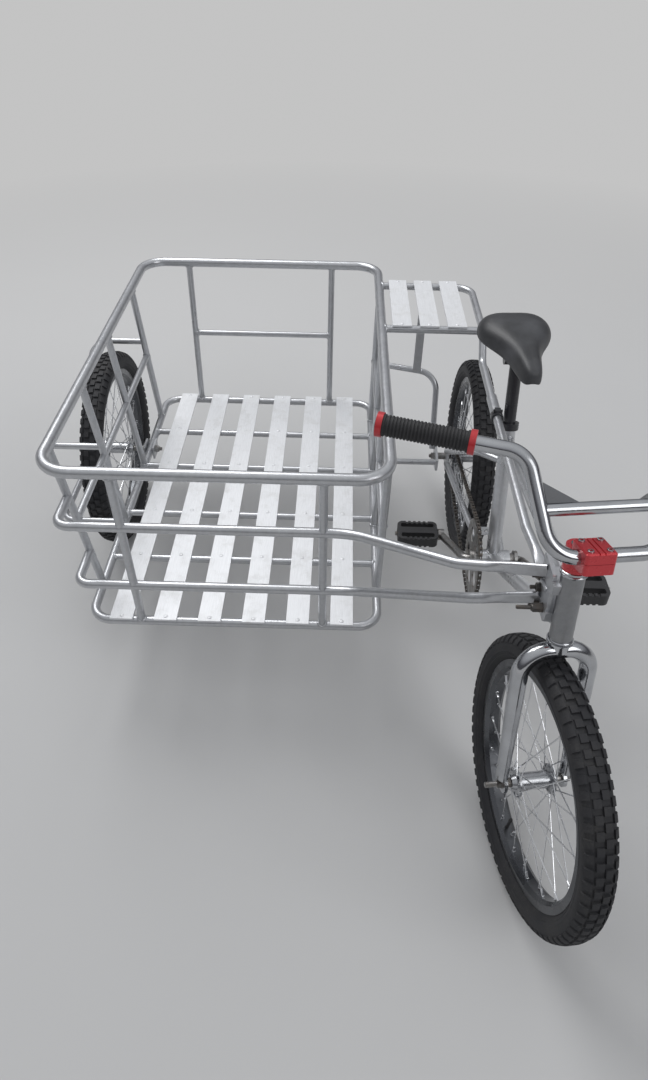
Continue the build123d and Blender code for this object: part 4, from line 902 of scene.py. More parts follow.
def wheel_frame(joints: dict[str, dict], name: str) -> Matrix:
    """Find a wheel's own frame, X along its axle and Y forwards.

    Args:
        joints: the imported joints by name.
        name: the wheel's name.

    Returns:
        The placing matrix.
    """
    joint = joints[name + "_wheel_spin"]
    return frame_of(Vector(joint["pos_m"]), Vector(joint["axis"]), FORWARDS)


@dataclass
class Wheel:
    """One spoked wheel: carcass with lugs, round spokes with nipples, and a valve."""

    name: str
    # half of the closed outline: out from the wheel's middle, radius
    carcass_half: Rows = (
        (12.6, 201.4), (14.6, 206.0), (15.2, 210.0), (18.6, 212.4), (22.3, 216.0), (23.2, 217.4), (22.9, 218.3),
        (24.6, 222.4), (25.5, 223.8), (25.3, 224.6), (26.3, 230.0), (26.2, 235.0), (24.6, 240.4), (21.2, 245.2),
        (16.4, 248.3), (11.0, 249.6), (5.5, 250.1), (0.0, 250.2))
    carcass_steps: int = 108
    # outlines of the lugs, two corners of the base first: out from the wheel's middle, radius
    centre_lug: Rows = ((0.7, 248.6), (13.2, 247.0), (12.6, 252.7), (8.0, 253.75), (1.3, 253.9))
    edge_lug: Rows = ((16.2, 246.0), (24.6, 238.4), (27.0, 240.6), (24.0, 246.3), (19.4, 250.6), (16.6, 251.6))
    lug_count: int = 70
    lug_length: float = 14.6
    lug_top_share: float = 0.86
    spoke_radius: float = 1.15
    spokes_a_family: int = 9
    family_turn: float = 10.0
    spoke_lean: float = 52.0
    hole_circle: float = 22.0
    outer_head: float = 33.6
    inner_head: float = 27.4
    spoke_from: float = -0.6
    spoke_short: float = 11.0
    # from the spoke's end, radius
    nipple: Rows = ((-13.5, 1.7), (-12.5, 2.1), (-1.5, 2.1), (-0.6, 2.9), (0.1, 2.9))
    head_from: float = -0.6
    head_under: float = 5.4
    head_to: float = 6.6
    seat_out: float = 4.0
    seat_radius: float = 189.3
    valve_angle: float = 95.0
    valve_foot: float = 190.0
    # from the valve's foot towards the hub, radius
    valve_outline: Rows = (
        (-1.0, 3.4), (2.0, 3.2), (16.0, 2.9), (17.0, 2.6), (24.0, 2.6), (24.2, 3.7), (29.0, 3.7), (31.5, 3.2),
        (33.5, 2.2))

    def lug(self, half: Rows, side: float) -> bpy.types.Mesh:
        """Make one lug.

        Args:
            half: its outline in X and Y, in millimetres, the base first.
            side: 1 or -1.

        Returns:
            The lug's mesh, long side along Z.
        """
        count = len(half)
        points = []
        for end in (-0.5, 0.5):
            for index, (x, y) in enumerate(half):
                reach = self.lug_length * end * (1.0 if index < 2 else self.lug_top_share)
                points.append(Vector((x * side, y, reach)) / 1000.0)
        faces = [tuple(range(count)), tuple(reversed(range(count, 2 * count)))]
        for step in range(count):
            after = (step + 1) % count
            faces.append((step, step + count, after + count, after))
        return Shape().take(points, faces).mesh("lug", 20.0)

    def tyre(self, tool: RingTool, place: Matrix) -> bpy.types.Mesh:
        """Make the tyre.

        Args:
            tool: the ring tool.
            place: the wheel's frame.

        Returns:
            The mesh.
        """
        half = list(self.carcass_half)
        outline = [(-x, r) for x, r in half[:-1]] + [half[-1]] + [(x, r) for x, r in reversed(half[:-1])]
        parts = [Shape().lathe(outline, HERE, self.carcass_steps, ring=True).mesh("carcass")]
        step = math.tau / self.lug_count
        for side in (-1.0, 1.0):
            for lug_half, shift in ((self.centre_lug, 0.0), (self.edge_lug, 0.5)):
                phase = step * (shift + (0.5 if side > 0 else 0.0))
                parts.append(tool.ring(self.lug(lug_half, side), TYRE_BLACK, self.lug_count, phase))
        return joined(self.name + "_tread_tyre", parts, place, 30.0)

    def spoke(self, side: float, outside: bool) -> bpy.types.Mesh:
        """Make one spoke with its head and nipple.

        Args:
            side: the hub flange, 1 or -1.
            outside: whether its head is on the flange's outer face.

        Returns:
            The mesh.
        """
        lean = math.radians(self.spoke_lean if outside else -self.spoke_lean)
        head = side * (self.outer_head if outside else self.inner_head)
        start = Vector((head, self.hole_circle * math.cos(lean), self.hole_circle * math.sin(lean))) / 1000.0
        end = Vector((side * self.seat_out, self.seat_radius, 0.0)) / 1000.0
        along = frame_of(start, end - start, ACROSS)
        length = (end - start).length * 1000.0
        wire = self.spoke_radius
        shape = Shape()
        shape.lathe(((self.spoke_from, wire), (length - self.spoke_short, wire)), along, 6)
        shape.lathe([(length + at, radius) for at, radius in self.nipple], along, 8)
        through = frame_of(start, ACROSS * side, BACKWARDS)
        inwards = -1.0 if outside else 1.0
        low, high = sorted((self.head_from * inwards, self.head_to * inwards))
        shape.lathe(((low, wire), (high, wire)), through, 6)
        low, high = sorted((self.head_under * inwards, self.head_to * inwards))
        shape.lathe(((low, 2.0), (high, 1.6)), through, 8)
        return shape.mesh("spoke")

    def spokes(self, tool: RingTool, place: Matrix) -> bpy.types.Mesh:
        """Make all the spokes, a family for each face of the two flanges.

        Args:
            tool: the ring tool.
            place: the wheel's frame.

        Returns:
            The mesh.
        """
        parts = []
        for family in range(4):
            block = self.spoke(1.0 if family % 2 else -1.0, family >= 2)
            phase = math.radians(self.family_turn * family)
            parts.append(tool.ring(block, SPOKE_WIRE, self.spokes_a_family, phase))
        return joined(self.name + "_wire_spokes", parts, place)

    def valve(self, place: Matrix) -> bpy.types.Mesh:
        """Make the valve that points from the rim to the hub.

        Args:
            place: the wheel's frame.

        Returns:
            The mesh.
        """
        angle = math.radians(self.valve_angle)
        out = Vector((0.0, math.cos(angle), math.sin(angle)))
        own = place @ frame_of(out * (self.valve_foot / 1000.0), -out, ACROSS)
        return Shape().lathe(self.valve_outline, own, 12).mesh(self.name + "_valve")

    def build(self, tool: RingTool, joints: dict[str, dict]) -> None:
        """Make and settle the wheel's pieces.

        Args:
            tool: the ring tool.
            joints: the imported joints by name.
        """
        place = wheel_frame(joints, self.name)
        body = self.name + "_wheel"
        settle(self.name + "_tread_tyre", self.tyre(tool, place), TYRE_BLACK, body, (self.name + "_tyre",))
        settle(self.name + "_wire_spokes", self.spokes(tool, place), SPOKE_WIRE, body,
               (self.name + "_spokes",))
        settle(self.name + "_valve", self.valve(place), GRIP_BLACK, body)


@dataclass
class Saddle:
    """Padded saddle: crowned top, tucked skirt and a flat underside."""

    turn: float = 3.0
    rear_y: float = 276.0
    base_z: float = 722.0
    post_y: float = 167.8
    # ahead of the rear edge, half width, skirt height, crown height above the base
    stations: Sequence[tuple[float, float, float, float]] = (
        (2.0, 36.0, 20.0, 27.0), (10.0, 54.0, 15.0, 37.0), (26.0, 68.0, 10.0, 45.5), (48.0, 75.0, 6.0, 49.0),
        (72.0, 74.0, 4.0, 49.0), (96.0, 63.0, 3.0, 46.5), (120.0, 48.0, 2.5, 44.5), (146.0, 36.0, 2.0, 42.0),
        (172.0, 29.0, 0.0, 39.0), (198.0, 24.5, -2.0, 36.0), (220.0, 20.5, -3.0, 31.5), (234.0, 15.0, -2.0, 25.0),
        (239.0, 9.0, 1.0, 18.0))
    # round the section: share of the half width, share of the height between skirt and crown
    section: Rows = (
        (0.0, 0.985), (0.22, 1.0), (0.46, 0.985), (0.68, 0.90), (0.86, 0.72), (0.97, 0.46), (1.0, 0.22),
        (0.985, 0.06), (0.93, 0.0), (0.70, 0.02), (0.35, 0.05), (0.0, 0.06))

    def build(self) -> None:
        """Make and settle the saddle, its cage rounded by subdivision."""
        turn = math.radians(self.turn)
        ahead = Vector((math.sin(turn), -math.cos(turn), 0.0))
        side = Vector((math.cos(turn), math.sin(turn), 0.0))
        start = Vector((BIKE_X, self.post_y, self.base_z)) - ahead * (self.rear_y - self.post_y)
        rows = [(x, h) for x, h in self.section] + [(-x, h) for x, h in reversed(self.section[1:-1])]
        count = len(rows)
        points = []
        for place, half, skirt, crown in self.stations:
            for share, rise in rows:
                local = start + ahead * place + side * (half * share)
                local.z += skirt + (crown - skirt) * rise
                points.append((local - SOURCE_MIDDLE) / 1000.0)
        last = len(points) - count
        faces = [tuple(range(count)), tuple(reversed(range(last, last + count)))]
        for low in range(0, last, count):
            for step in range(count):
                after = (step + 1) % count
                faces.append((low + step, low + after, low + count + after, low + count + step))
        piece = settle("saddle_pad", Shape().take(points, faces).mesh("saddle_pad", 180.0), SADDLE_BLACK, "chassis",
                       ("saddle",))
        subdivision = piece.modifiers.new("soft", "SUBSURF")
        subdivision.levels = 2
        subdivision.render_levels = 2


@dataclass
class Handlebar:
    """What rides on the handlebar: ribbed grips, end plugs, gusset faces with a painted dark reflection, and the stem's
    bolts.

    The bar's corners are (out, back, up) from the middle of its lower run, straight ahead.
    """

    stem_foot: float = 9.4
    stem_rise: float = 45.0
    stem_reach: float = 42.0
    shift: float = 25.0
    end: Point = (309.0, 174.0, 116.0)
    knee: Point = (117.0, 88.0, 117.0)
    foot: Point = (87.0, 0.0, 0.0)
    crossbar_level: float = 0.46
    gusset_height: float = 46.0
    gusset_half_thick: float = 1.9
    # along the crossbar from the gusset's corner, and square to it
    gusset_base: Rows = ((0.0, -9.5), (62.6, -4.9), (62.6, 5.2))
    grip_length: float = 122.0
    grip_middle: float = 70.0
    # from the grip's end inwards, radius
    collar: Rows = ((0.0, 11.3), (0.0, 16.0), (3.0, 16.0), (4.0, 14.4))
    collar_length: float = 6.0
    ribs: int = 22
    # share of a rib's step, radius
    rib: Rows = ((0.0, 14.2), (0.18, 15.6), (0.62, 15.6), (0.80, 14.2))
    ring_width: float = 9.0
    # from the ring's outer face inwards, radius
    plug: Rows = ((-2.2, 7.0), (-1.6, 10.0), (0.0, 11.0), (6.0, 11.0))
    # up from the cap's face, radius
    socket: Rows = ((0.0, 2.3), (0.0, 4.7), (1.9, 4.7), (2.5, 4.1), (2.5, 2.5), (0.6, 2.3))
    socket_floor: Rows = ((0.2, 2.6), (0.7, 2.6))
    cap_height: float = 16.8
    bolt_out: float = 14.0
    bolt_back: float = 15.0

    def point(self, out: float, back: float, up: float) -> Vector:
        """Find a point of the turned handlebar.

        Args:
            out: to the rider's left of the bar's middle.
            back: behind it.
            up: above it.

        Returns:
            The point in metres.
        """
        foot = HEAD_MIDDLE + STEER_UP * (HEAD_HALF + self.stem_foot)
        middle = foot + STEER_UP * self.stem_rise + ACROSS.cross(STEER_UP) * self.stem_reach
        point = middle + Vector((self.shift + out, back, up))
        return (HEAD_MIDDLE + STEER_TURN @ (point - HEAD_MIDDLE) - SOURCE_MIDDLE) / 1000.0

    def riser(self, side: float, share: float) -> Vector:
        """Find a point of a riser in metres, share 0 at its foot and 1 at its knee."""
        out, back, up = (low + (high - low) * share for low, high in zip(self.foot, self.knee))
        return self.point(side * out, back, up)

    def grips(self) -> None:
        """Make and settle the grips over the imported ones, and the bar's end plugs."""
        low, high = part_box("grips")
        LOG.info("packed grips between %s and %s", low, high)
        grips, plugs = Shape(), Shape()
        half = self.grip_length / 2
        outline = [(-half + depth, radius) for depth, radius in self.collar]
        step = (self.grip_length - 2 * self.collar_length) / self.ribs
        for index in range(self.ribs):
            start = -half + self.collar_length + index * step
            outline += [(start + step * share, radius) for share, radius in self.rib]
        outline += [(half - depth, radius) for depth, radius in reversed(self.collar)]
        end = -half - self.ring_width
        for side in (-1.0, 1.0):
            tip = self.point(side * self.end[0], *self.end[1:])
            along = (self.point(side * self.knee[0], *self.knee[1:]) - tip).normalized()
            place = frame_of(tip + along * (self.grip_middle / 1000.0), along, UP)
            grips.lathe(outline, place, 28, ring=True)
            plugs.lathe([(end + depth, radius) for depth, radius in self.plug], place, 24)
        settle("ribbed_grips", grips.mesh("ribbed_grips", 40.0), GRIP_BLACK, "steering", ("grips",))
        settle("bar_end_plugs", plugs.mesh("bar_end_plugs"), GRIP_BLACK, "steering")

    def gusset_painted_reflections(self) -> None:
        """Make and settle dark plates over the chrome corners of handlebar and crossbar: a painted reflection of the
        ground.
        """
        shape = Shape()
        for side in (-1.0, 1.0):
            corner = self.riser(side, self.crossbar_level)
            inward = (self.riser(-side, self.crossbar_level) - corner).normalized()
            rise = self.riser(side, 1.0) - corner
            place = frame_of(corner, inward.cross(rise), inward)
            high = place.to_3x3().transposed() @ rise.normalized() * self.gusset_height
            shape.prism((*self.gusset_base, (high.y + 0.5, high.z + 0.4)), -self.gusset_half_thick,
                        self.gusset_half_thick, place)
        # dark skin over the chrome gussets: a painted reflection of the ground
        settle("gusset_faces", shape.mesh("gusset_faces"), GUSSET_PAINTED_REFLECTION, "steering")

    def stem_bolts(self, tool: SpotTool) -> None:
        """Make and settle the four bright socket bolts of the stem's cap.

        Args:
            tool: the tool that copies a block to spots.
        """
        shape = Shape()
        shape.lathe(self.socket, HERE, 20, ring=True)
        shape.lathe(self.socket_floor, HERE, 6)
        middle = self.point(-self.shift, 0.0, 0.0)
        across = STEER_TURN @ ACROSS
        along = STEER_UP.cross(across)
        rows = []
        for out in (-self.bolt_out, self.bolt_out):
            for back in (-self.bolt_back, self.bolt_back):
                place = middle + (across * out + along * back + STEER_UP * self.cap_height) / 1000.0
                rows.append((frame_of(place, STEER_UP, across), WHOLE))
        mesh = tool.at(rows, shape.mesh("socket"), HUB_PLATING)
        shade(mesh, 30.0)
        settle("stem_bolts", mesh, HUB_PLATING, "steering")


@dataclass
class Chain:
    """Roller chain round chainring and sprocket: outer and inner links in turn."""

    ring_radius: float = 93.99
    sprocket_radius: float = 41.43
    pitch: float = 12.7
    line: float = 44.0
    plate_radius: float = 4.1
    # degrees at which the corners round a plate's end stand
    plate_angles: Sequence[float] = (-70.0, -35.0, 0.0, 35.0, 70.0)
    plate_waist: float = 3.1
    # inner and outer face of a plate, from the chain's middle
    outer_plate: tuple[float, float] = (2.9, 3.9)
    inner_plate: tuple[float, float] = (1.8, 2.8)
    pin: Rows = ((-4.2, 1.7), (4.2, 1.7))
    roller: Rows = ((-1.75, 3.7), (1.75, 3.7))

    def path(self) -> list[Vector]:
        """Work out the links' places.

        Returns:
            The pins' middles in the source's millimetres.
        """
        big = PEDAL_AXLE
        small = Vector((BIKE_X, REAR_Y, AXLE_Z))
        gap = (small - big).length
        ahead = (small - big).normalized()
        up = ACROSS.cross(ahead)
        open_angle = math.acos((self.ring_radius - self.sprocket_radius) / gap)
        above = ahead * math.cos(open_angle) + up * math.sin(open_angle)
        below = ahead * math.cos(open_angle) - up * math.sin(open_angle)
        run = gap * math.sin(open_angle)
        small_arc = 2 * open_angle * self.sprocket_radius
        big_arc = (math.tau - 2 * open_angle) * self.ring_radius
        whole = 2 * run + small_arc + big_arc
        count = 2 * round(whole / self.pitch / 2)

        def on_circle(middle: Vector, radius: float, angle: float) -> Vector:
            """Place on a pitch circle, at an angle from the line of the two axles."""
            return middle + (ahead * math.cos(angle) + up * math.sin(angle)) * radius

        spots = []
        for index in range(count):
            place = whole * index / count
            if place < run:
                spots.append(big + above * self.ring_radius + above.cross(ACROSS) * place)
            elif place < run + small_arc:
                spots.append(on_circle(small, self.sprocket_radius, open_angle - (place - run) / self.sprocket_radius))
            elif place < 2 * run + small_arc:
                spots.append(small + below * self.sprocket_radius + below.cross(ACROSS) * (place - run - small_arc))
            else:
                round_ring = (place - 2 * run - small_arc) / self.ring_radius
                spots.append(on_circle(big, self.ring_radius, -open_angle - round_ring))
        return spots

    def link(self, outer: bool) -> bpy.types.Mesh:
        """Make one link, Y along the chain.

        Args:
            outer: whether its plates are the outer ones.

        Returns:
            The mesh.
        """
        half = self.pitch / 2
        plate = []
        for end in (1.0, -1.0):
            for angle in map(math.radians, self.plate_angles):
                plate.append((end * (half + self.plate_radius * math.cos(angle)),
                              end * self.plate_radius * math.sin(angle)))
            plate.append((0.0, end * self.plate_waist))
        shape = Shape()
        near, far = self.outer_plate if outer else self.inner_plate
        for side in (-1.0, 1.0):
            low, high = sorted((side * near, side * far))
            shape.prism(plate, low, high, HERE)
        for end in (-1.0, 1.0):
            place = Matrix.Translation((0.0, end * half / 1000.0, 0.0))
            if outer:
                shape.lathe(self.pin, place, 8)
            else:
                shape.lathe(self.roller, place, 10)
        return shape.mesh("link", 25.0)

    def build(self, tool: SpotTool) -> None:
        """Make and settle the chain.

        Args:
            tool: the tool that copies a block to spots.
        """
        spots = self.path()
        outer, inner = [], []
        for index, (start, stop) in enumerate(zip(spots, spots[1:] + spots[:1])):
            middle = (start + stop) / 2 - ACROSS * self.line
            way = stop - start
            along = way.normalized()
            turned = Matrix((ACROSS, along, ACROSS.cross(along))).transposed().to_4x4()
            place = Matrix.Translation((middle - SOURCE_MIDDLE) / 1000.0)
            (outer if index % 2 else inner).append((place @ turned, Vector((1.0, way.length / self.pitch, 1.0))))
        parts = [tool.at(outer, self.link(True), DARK_STEEL), tool.at(inner, self.link(False), DARK_STEEL)]
        settle("roller_chain", joined("roller_chain", parts, HERE, 25.0), DARK_STEEL, "chassis", ("chain",))


def hexagon(across: float) -> list[tuple[float, float]]:
    """Outline of a nut, across its flats in millimetres."""
    reach = across / math.sqrt(3.0)
    return [(reach * math.cos(math.tau * step / 6), reach * math.sin(math.tau * step / 6)) for step in range(6)]


@dataclass(frozen=True)
class AxleRow:
    """One wheel's axle: its body, and along X from the wheel's middle its ends, collars and nuts."""

    name: str
    body: str
    low: float
    high: float
    # from, to, radius
    collars: Sequence[tuple[float, float, float]]
    # seat, end
    nuts: Rows


@dataclass
class Axles:
    """Threaded axles with cones, washers and hexagon nuts, in place of the plain ones."""

    rows: Sequence[AxleRow] = (
        AxleRow("front", "steering", -86.0, 86.0, ((40.4, 50.0, 8.0), (-50.0, -40.4, 8.0)),
                ((56.0, 65.0), (-56.0, -65.0))),
        AxleRow("rear", "chassis", -104.0, 80.2, ((40.4, 56.2, 8.0), (-56.2, -48.0, 8.0), (-84.0, -62.2, 9.0)),
                ((62.2, 71.2), (-90.0, -99.0))),
        AxleRow("side", "chassis", -72.0, 116.5, ((40.4, 71.5, 8.0), (-50.0, -40.4, 8.0)),
                ((-56.0, -65.0), (100.5, 109.5))))
    thread_pitch: float = 1.6
    thread_root: float = 4.45
    thread_crest: float = 4.95
    rod_radius: float = 4.9
    rod_end_radius: float = 3.9
    rod_chamfer: float = 0.8
    threaded_length: float = 34.0
    thread_stop: float = 2.0
    collar_edge: float = 0.6
    washer_thick: float = 1.4
    washer_radius: float = 8.8
    nut_across: float = 14.6
    nut_crown: float = 0.6
    # radii of the crown's two faces
    crown_radii: tuple[float, float] = (7.2, 6.6)

    def rod(self, row: AxleRow, place: Matrix) -> Shape:
        """Make one axle.

        Args:
            row: the axle.
            place: its frame, X along it.

        Returns:
            The shape.
        """
        shape = Shape()
        outline = [(row.low, self.rod_end_radius), (row.low + self.rod_chamfer, self.rod_radius)]
        plain = max(0.0, (row.high - row.low) / 2 - self.threaded_length)
        middle = (row.low + row.high) / 2
        at = row.low + self.rod_chamfer
        while at < row.high - self.thread_stop:
            if abs(at - middle) < plain:
                at = middle + plain
                continue
            outline += [(at + self.thread_pitch * 0.5, self.thread_root), (at + self.thread_pitch, self.thread_crest)]
            at += self.thread_pitch
        outline += [(row.high - self.rod_chamfer, self.rod_radius), (row.high, self.rod_end_radius)]
        outline.sort(key=lambda step: step[0])
        shape.lathe(outline, place, 14)
        edge = self.collar_edge
        for start, stop, radius in row.collars:
            shape.lathe(((start, radius - edge), (start + edge, radius), (stop - edge, radius), (stop, radius - edge)),
                        place, 20)
        for seat, end in row.nuts:
            way = 1.0 if end > seat else -1.0
            face = seat + way * self.washer_thick
            crown = end - way * self.nut_crown
            low, high = sorted((seat, face))
            shape.lathe(((low, self.washer_radius), (high, self.washer_radius)), place, 20)
            low, high = sorted((face, crown))
            shape.prism(hexagon(self.nut_across), low, high, place)
            low, high = sorted((crown, end))
            shape.lathe(tuple(zip((low, high), self.crown_radii)), place, 18)
        return shape

    def build(self, joints: dict[str, dict]) -> None:
        """Make and settle the three axles.

        Args:
            joints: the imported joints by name.
        """
        for row in self.rows:
            name = row.name + "_threaded_axle"
            shape = self.rod(row, wheel_frame(joints, row.name))
            settle(name, shape.mesh(name), WORKING_STEEL, row.body, (row.name + "_axle",))


@dataclass(frozen=True)
class Bead:
    """How a weld bead looks: radius in millimetres, strength of its ripples, ripples a metre."""

    radius: float
    ripple: float
    ripples: float


@dataclass
class Welds:
    """Rippled weld beads where the tubes meet, at places in the source's millimetres."""

    basket_bead: Bead = Bead(2.7, 1.3, 230.0)
    cycle_bead: Bead = Bead(1.9, 1.0, 260.0)
    steps: int = 26
    top_z: float = 657.0
    floor_z: float = 254.0
    cross_z: float = 255.4
    rail_z: float = 463.0
    # radii of the tubes
    top_rim_tube: float = 11.0
    floor_rim_tube: float = 9.5
    post: float = 8.0
    cross_tube: float = 8.0
    rail: float = 7.5
    carrier_tube: float = 8.5
    # X of the basket's outer side at its top and its floor, and of its inner side
    outer_top_x: float = -505.0
    outer_floor_x: float = -491.0
    inner_x: float = 105.0
    # Y of each side post at the top and at the floor
    side_posts: Rows = ((581.0, 640.0), (335.0, 400.0), (120.0, 178.0), (-103.0, -40.0))
    # Y at the top and at the floor, and X of each post at the top and at the floor
    end_posts: Sequence[tuple[float, float, Rows]] = (
        (755.0, 740.0, ((-390.0, -390.0), (-15.0, -15.0))),
        (-181.0, -145.0, ((-378.0, -384.0), (-10.0, -10.0))))
    cross_ys: Sequence[float] = (562.0, 400.0, 205.0, 45.0)
    # X and Y where a mid rail leaves a post, and which way
    rail_ends: Sequence[tuple[float, float, Vector]] = (
        (-498.3, 609.4, -BACKWARDS), (105.0, 609.4, -BACKWARDS), (-498.3, -72.6, BACKWARDS),
        (105.0, -72.6, BACKWARDS), (-390.0, 747.8, ACROSS), (-15.0, 747.8, -ACROSS))
    carrier_ys: Sequence[float] = (630.0, 393.0)
    carrier_x: float = 333.0
    outrigger_y: float = 172.0
    link_arm_y: float = 450.0
    down_tube: float = 14.0
    seat_tube: float = 15.0
    top_tube: float = 12.0
    shell: float = 21.0
    head_low_room: float = 26.0
    head_high_room: float = 24.0
    seat_join_z: float = 550.0
    # the joints that are noted
    rows: list[tuple[Vector, Vector, Vector, float, float]] = field(default_factory=list)

    def joint(self, centre: Vector, branch: Vector, main: Vector, branch_radius: float, main_radius: float) -> None:
        """Note one joint.

        Args:
            centre: the main tube's middle where the branch meets it.
            branch: direction in which the branch leaves.
            main: direction of the main tube.
            branch_radius: radius of the branch.
            main_radius: radius of the main tube.
        """
        self.rows.append((centre, branch.normalized(), main.normalized(), branch_radius, main_radius))

    def post_joints(self, top: Vector, low: Vector, rims: Vector) -> None:
        """Note a post's joints with the top rim and the floor rim.

        Args:
            top: where it meets the top rim's middle.
            low: where it meets the floor rim's middle.
            rims: direction of both rims.
        """
        self.joint(top, low - top, rims, self.post, self.top_rim_tube)
        self.joint(low, top - low, rims, self.post, self.floor_rim_tube)

    def host(self) -> bpy.types.Mesh:
        """Trace every joint's closed line, and forget the joints.

        Returns:
            A mesh of edges.
        """
        points, edges = [], []
        for centre, branch, main, small, large in self.rows:
            flat = (main - branch * main.dot(branch)).normalized()
            side = branch.cross(flat)
            lean = branch.dot(main)
            slant = math.sqrt(max(0.05, 1.0 - lean * lean))
            base = len(points)
            for step in range(self.steps):
                angle = math.tau * step / self.steps
                along = small * math.cos(angle)
                across = small * math.sin(angle)
                rise = math.sqrt(max(0.0, large * large - across * across))
                point = centre + branch * ((rise + along * lean) / slant) + flat * along + side * across
                points.append((point - SOURCE_MIDDLE) / 1000.0)
                edges.append((base + step, base + (step + 1) % self.steps))
        made = bpy.data.meshes.new("seams")
        made.from_pydata(points, edges, [])
        self.rows.clear()
        return made

    def basket_joints(self) -> None:
        """Note the joints of basket, carrier and struts."""
        for top_x, low_x in ((self.outer_top_x, self.outer_floor_x), (self.inner_x, self.inner_x)):
            for top_y, low_y in self.side_posts:
                self.post_joints(Vector((top_x, top_y, self.top_z)), Vector((low_x, low_y, self.floor_z)), BACKWARDS)
        for top_y, low_y, posts in self.end_posts:
            for top_x, low_x in posts:
                self.post_joints(Vector((top_x, top_y, self.top_z)), Vector((low_x, low_y, self.floor_z)), ACROSS)
        for y in self.cross_ys:
            for x, way in ((self.outer_floor_x, ACROSS), (self.inner_x, -ACROSS)):
                self.joint(Vector((x, y, self.cross_z)), way, BACKWARDS, self.cross_tube, self.floor_rim_tube)
        for x, y, way in self.rail_ends:
            self.joint(Vector((x, y, self.rail_z)), way, UP, self.rail, self.post)
        for y in self.carrier_ys:
            self.joint(Vector((self.inner_x, y, self.top_z)), ACROSS, BACKWARDS, self.carrier_tube, self.top_rim_tube)
        for x, y, way in ((self.outer_floor_x, self.outrigger_y, -ACROSS), (self.inner_x, self.link_arm_y, ACROSS)):
            self.joint(Vector((x, y, self.floor_z)), way, BACKWARDS, self.rail, self.floor_rim_tube)
        corner = Vector((self.carrier_x, self.carrier_ys[1], self.top_z))
        self.joint(corner, -ACROSS, BACKWARDS, self.carrier_tube, self.carrier_tube)

    def cycle_joints(self) -> None:
        """Note the joints of the bicycle frame."""
        down = HEAD_MIDDLE - STEER_UP * HEAD_HALF + STEER_UP * self.head_low_room
        top = HEAD_MIDDLE + STEER_UP * HEAD_HALF - STEER_UP * self.head_high_room
        top_end = PEDAL_AXLE + SEAT_UP * ((self.seat_join_z - PEDAL_AXLE.z) / SEAT_UP.z)
        self.joint(down, PEDAL_AXLE - down, STEER_UP, self.down_tube, HEAD_RADIUS)
        self.joint(PEDAL_AXLE, down - PEDAL_AXLE, ACROSS, self.down_tube, self.shell)
        self.joint(PEDAL_AXLE, SEAT_UP, ACROSS, self.seat_tube, self.shell)
        self.joint(top, top_end - top, STEER_UP, self.top_tube, HEAD_RADIUS)
        self.joint(top_end, top - top_end, SEAT_UP, self.top_tube, self.seat_tube)

    def lay(self, tool: SeamTool, name: str, bead: Bead, finish: Finish) -> None:
        """Make and settle the beads of the joints that are noted.

        Args:
            tool: the tool that runs a bead along edges.
            name: the piece's name.
            bead: how the bead looks.
            finish: its finish.
        """
        mesh = tool.run(self.host(), finish, Bead_Radius=bead.radius / 1000.0, Ripple=bead.ripple,
                        Ripples=bead.ripples)
        shade(mesh, 60.0)
        settle(name, mesh, finish, "chassis")

    def build(self, tool: SeamTool) -> None:
        """Make and settle the beads of the basket and of the bicycle frame.

        Args:
            tool: the tool that runs a bead along edges.
        """
        self.basket_joints()
        self.lay(tool, "basket_welds", self.basket_bead, BASKET_PAINT)
        self.cycle_joints()
        self.lay(tool, "cycle_welds", self.cycle_bead, FRAME_PAINT)


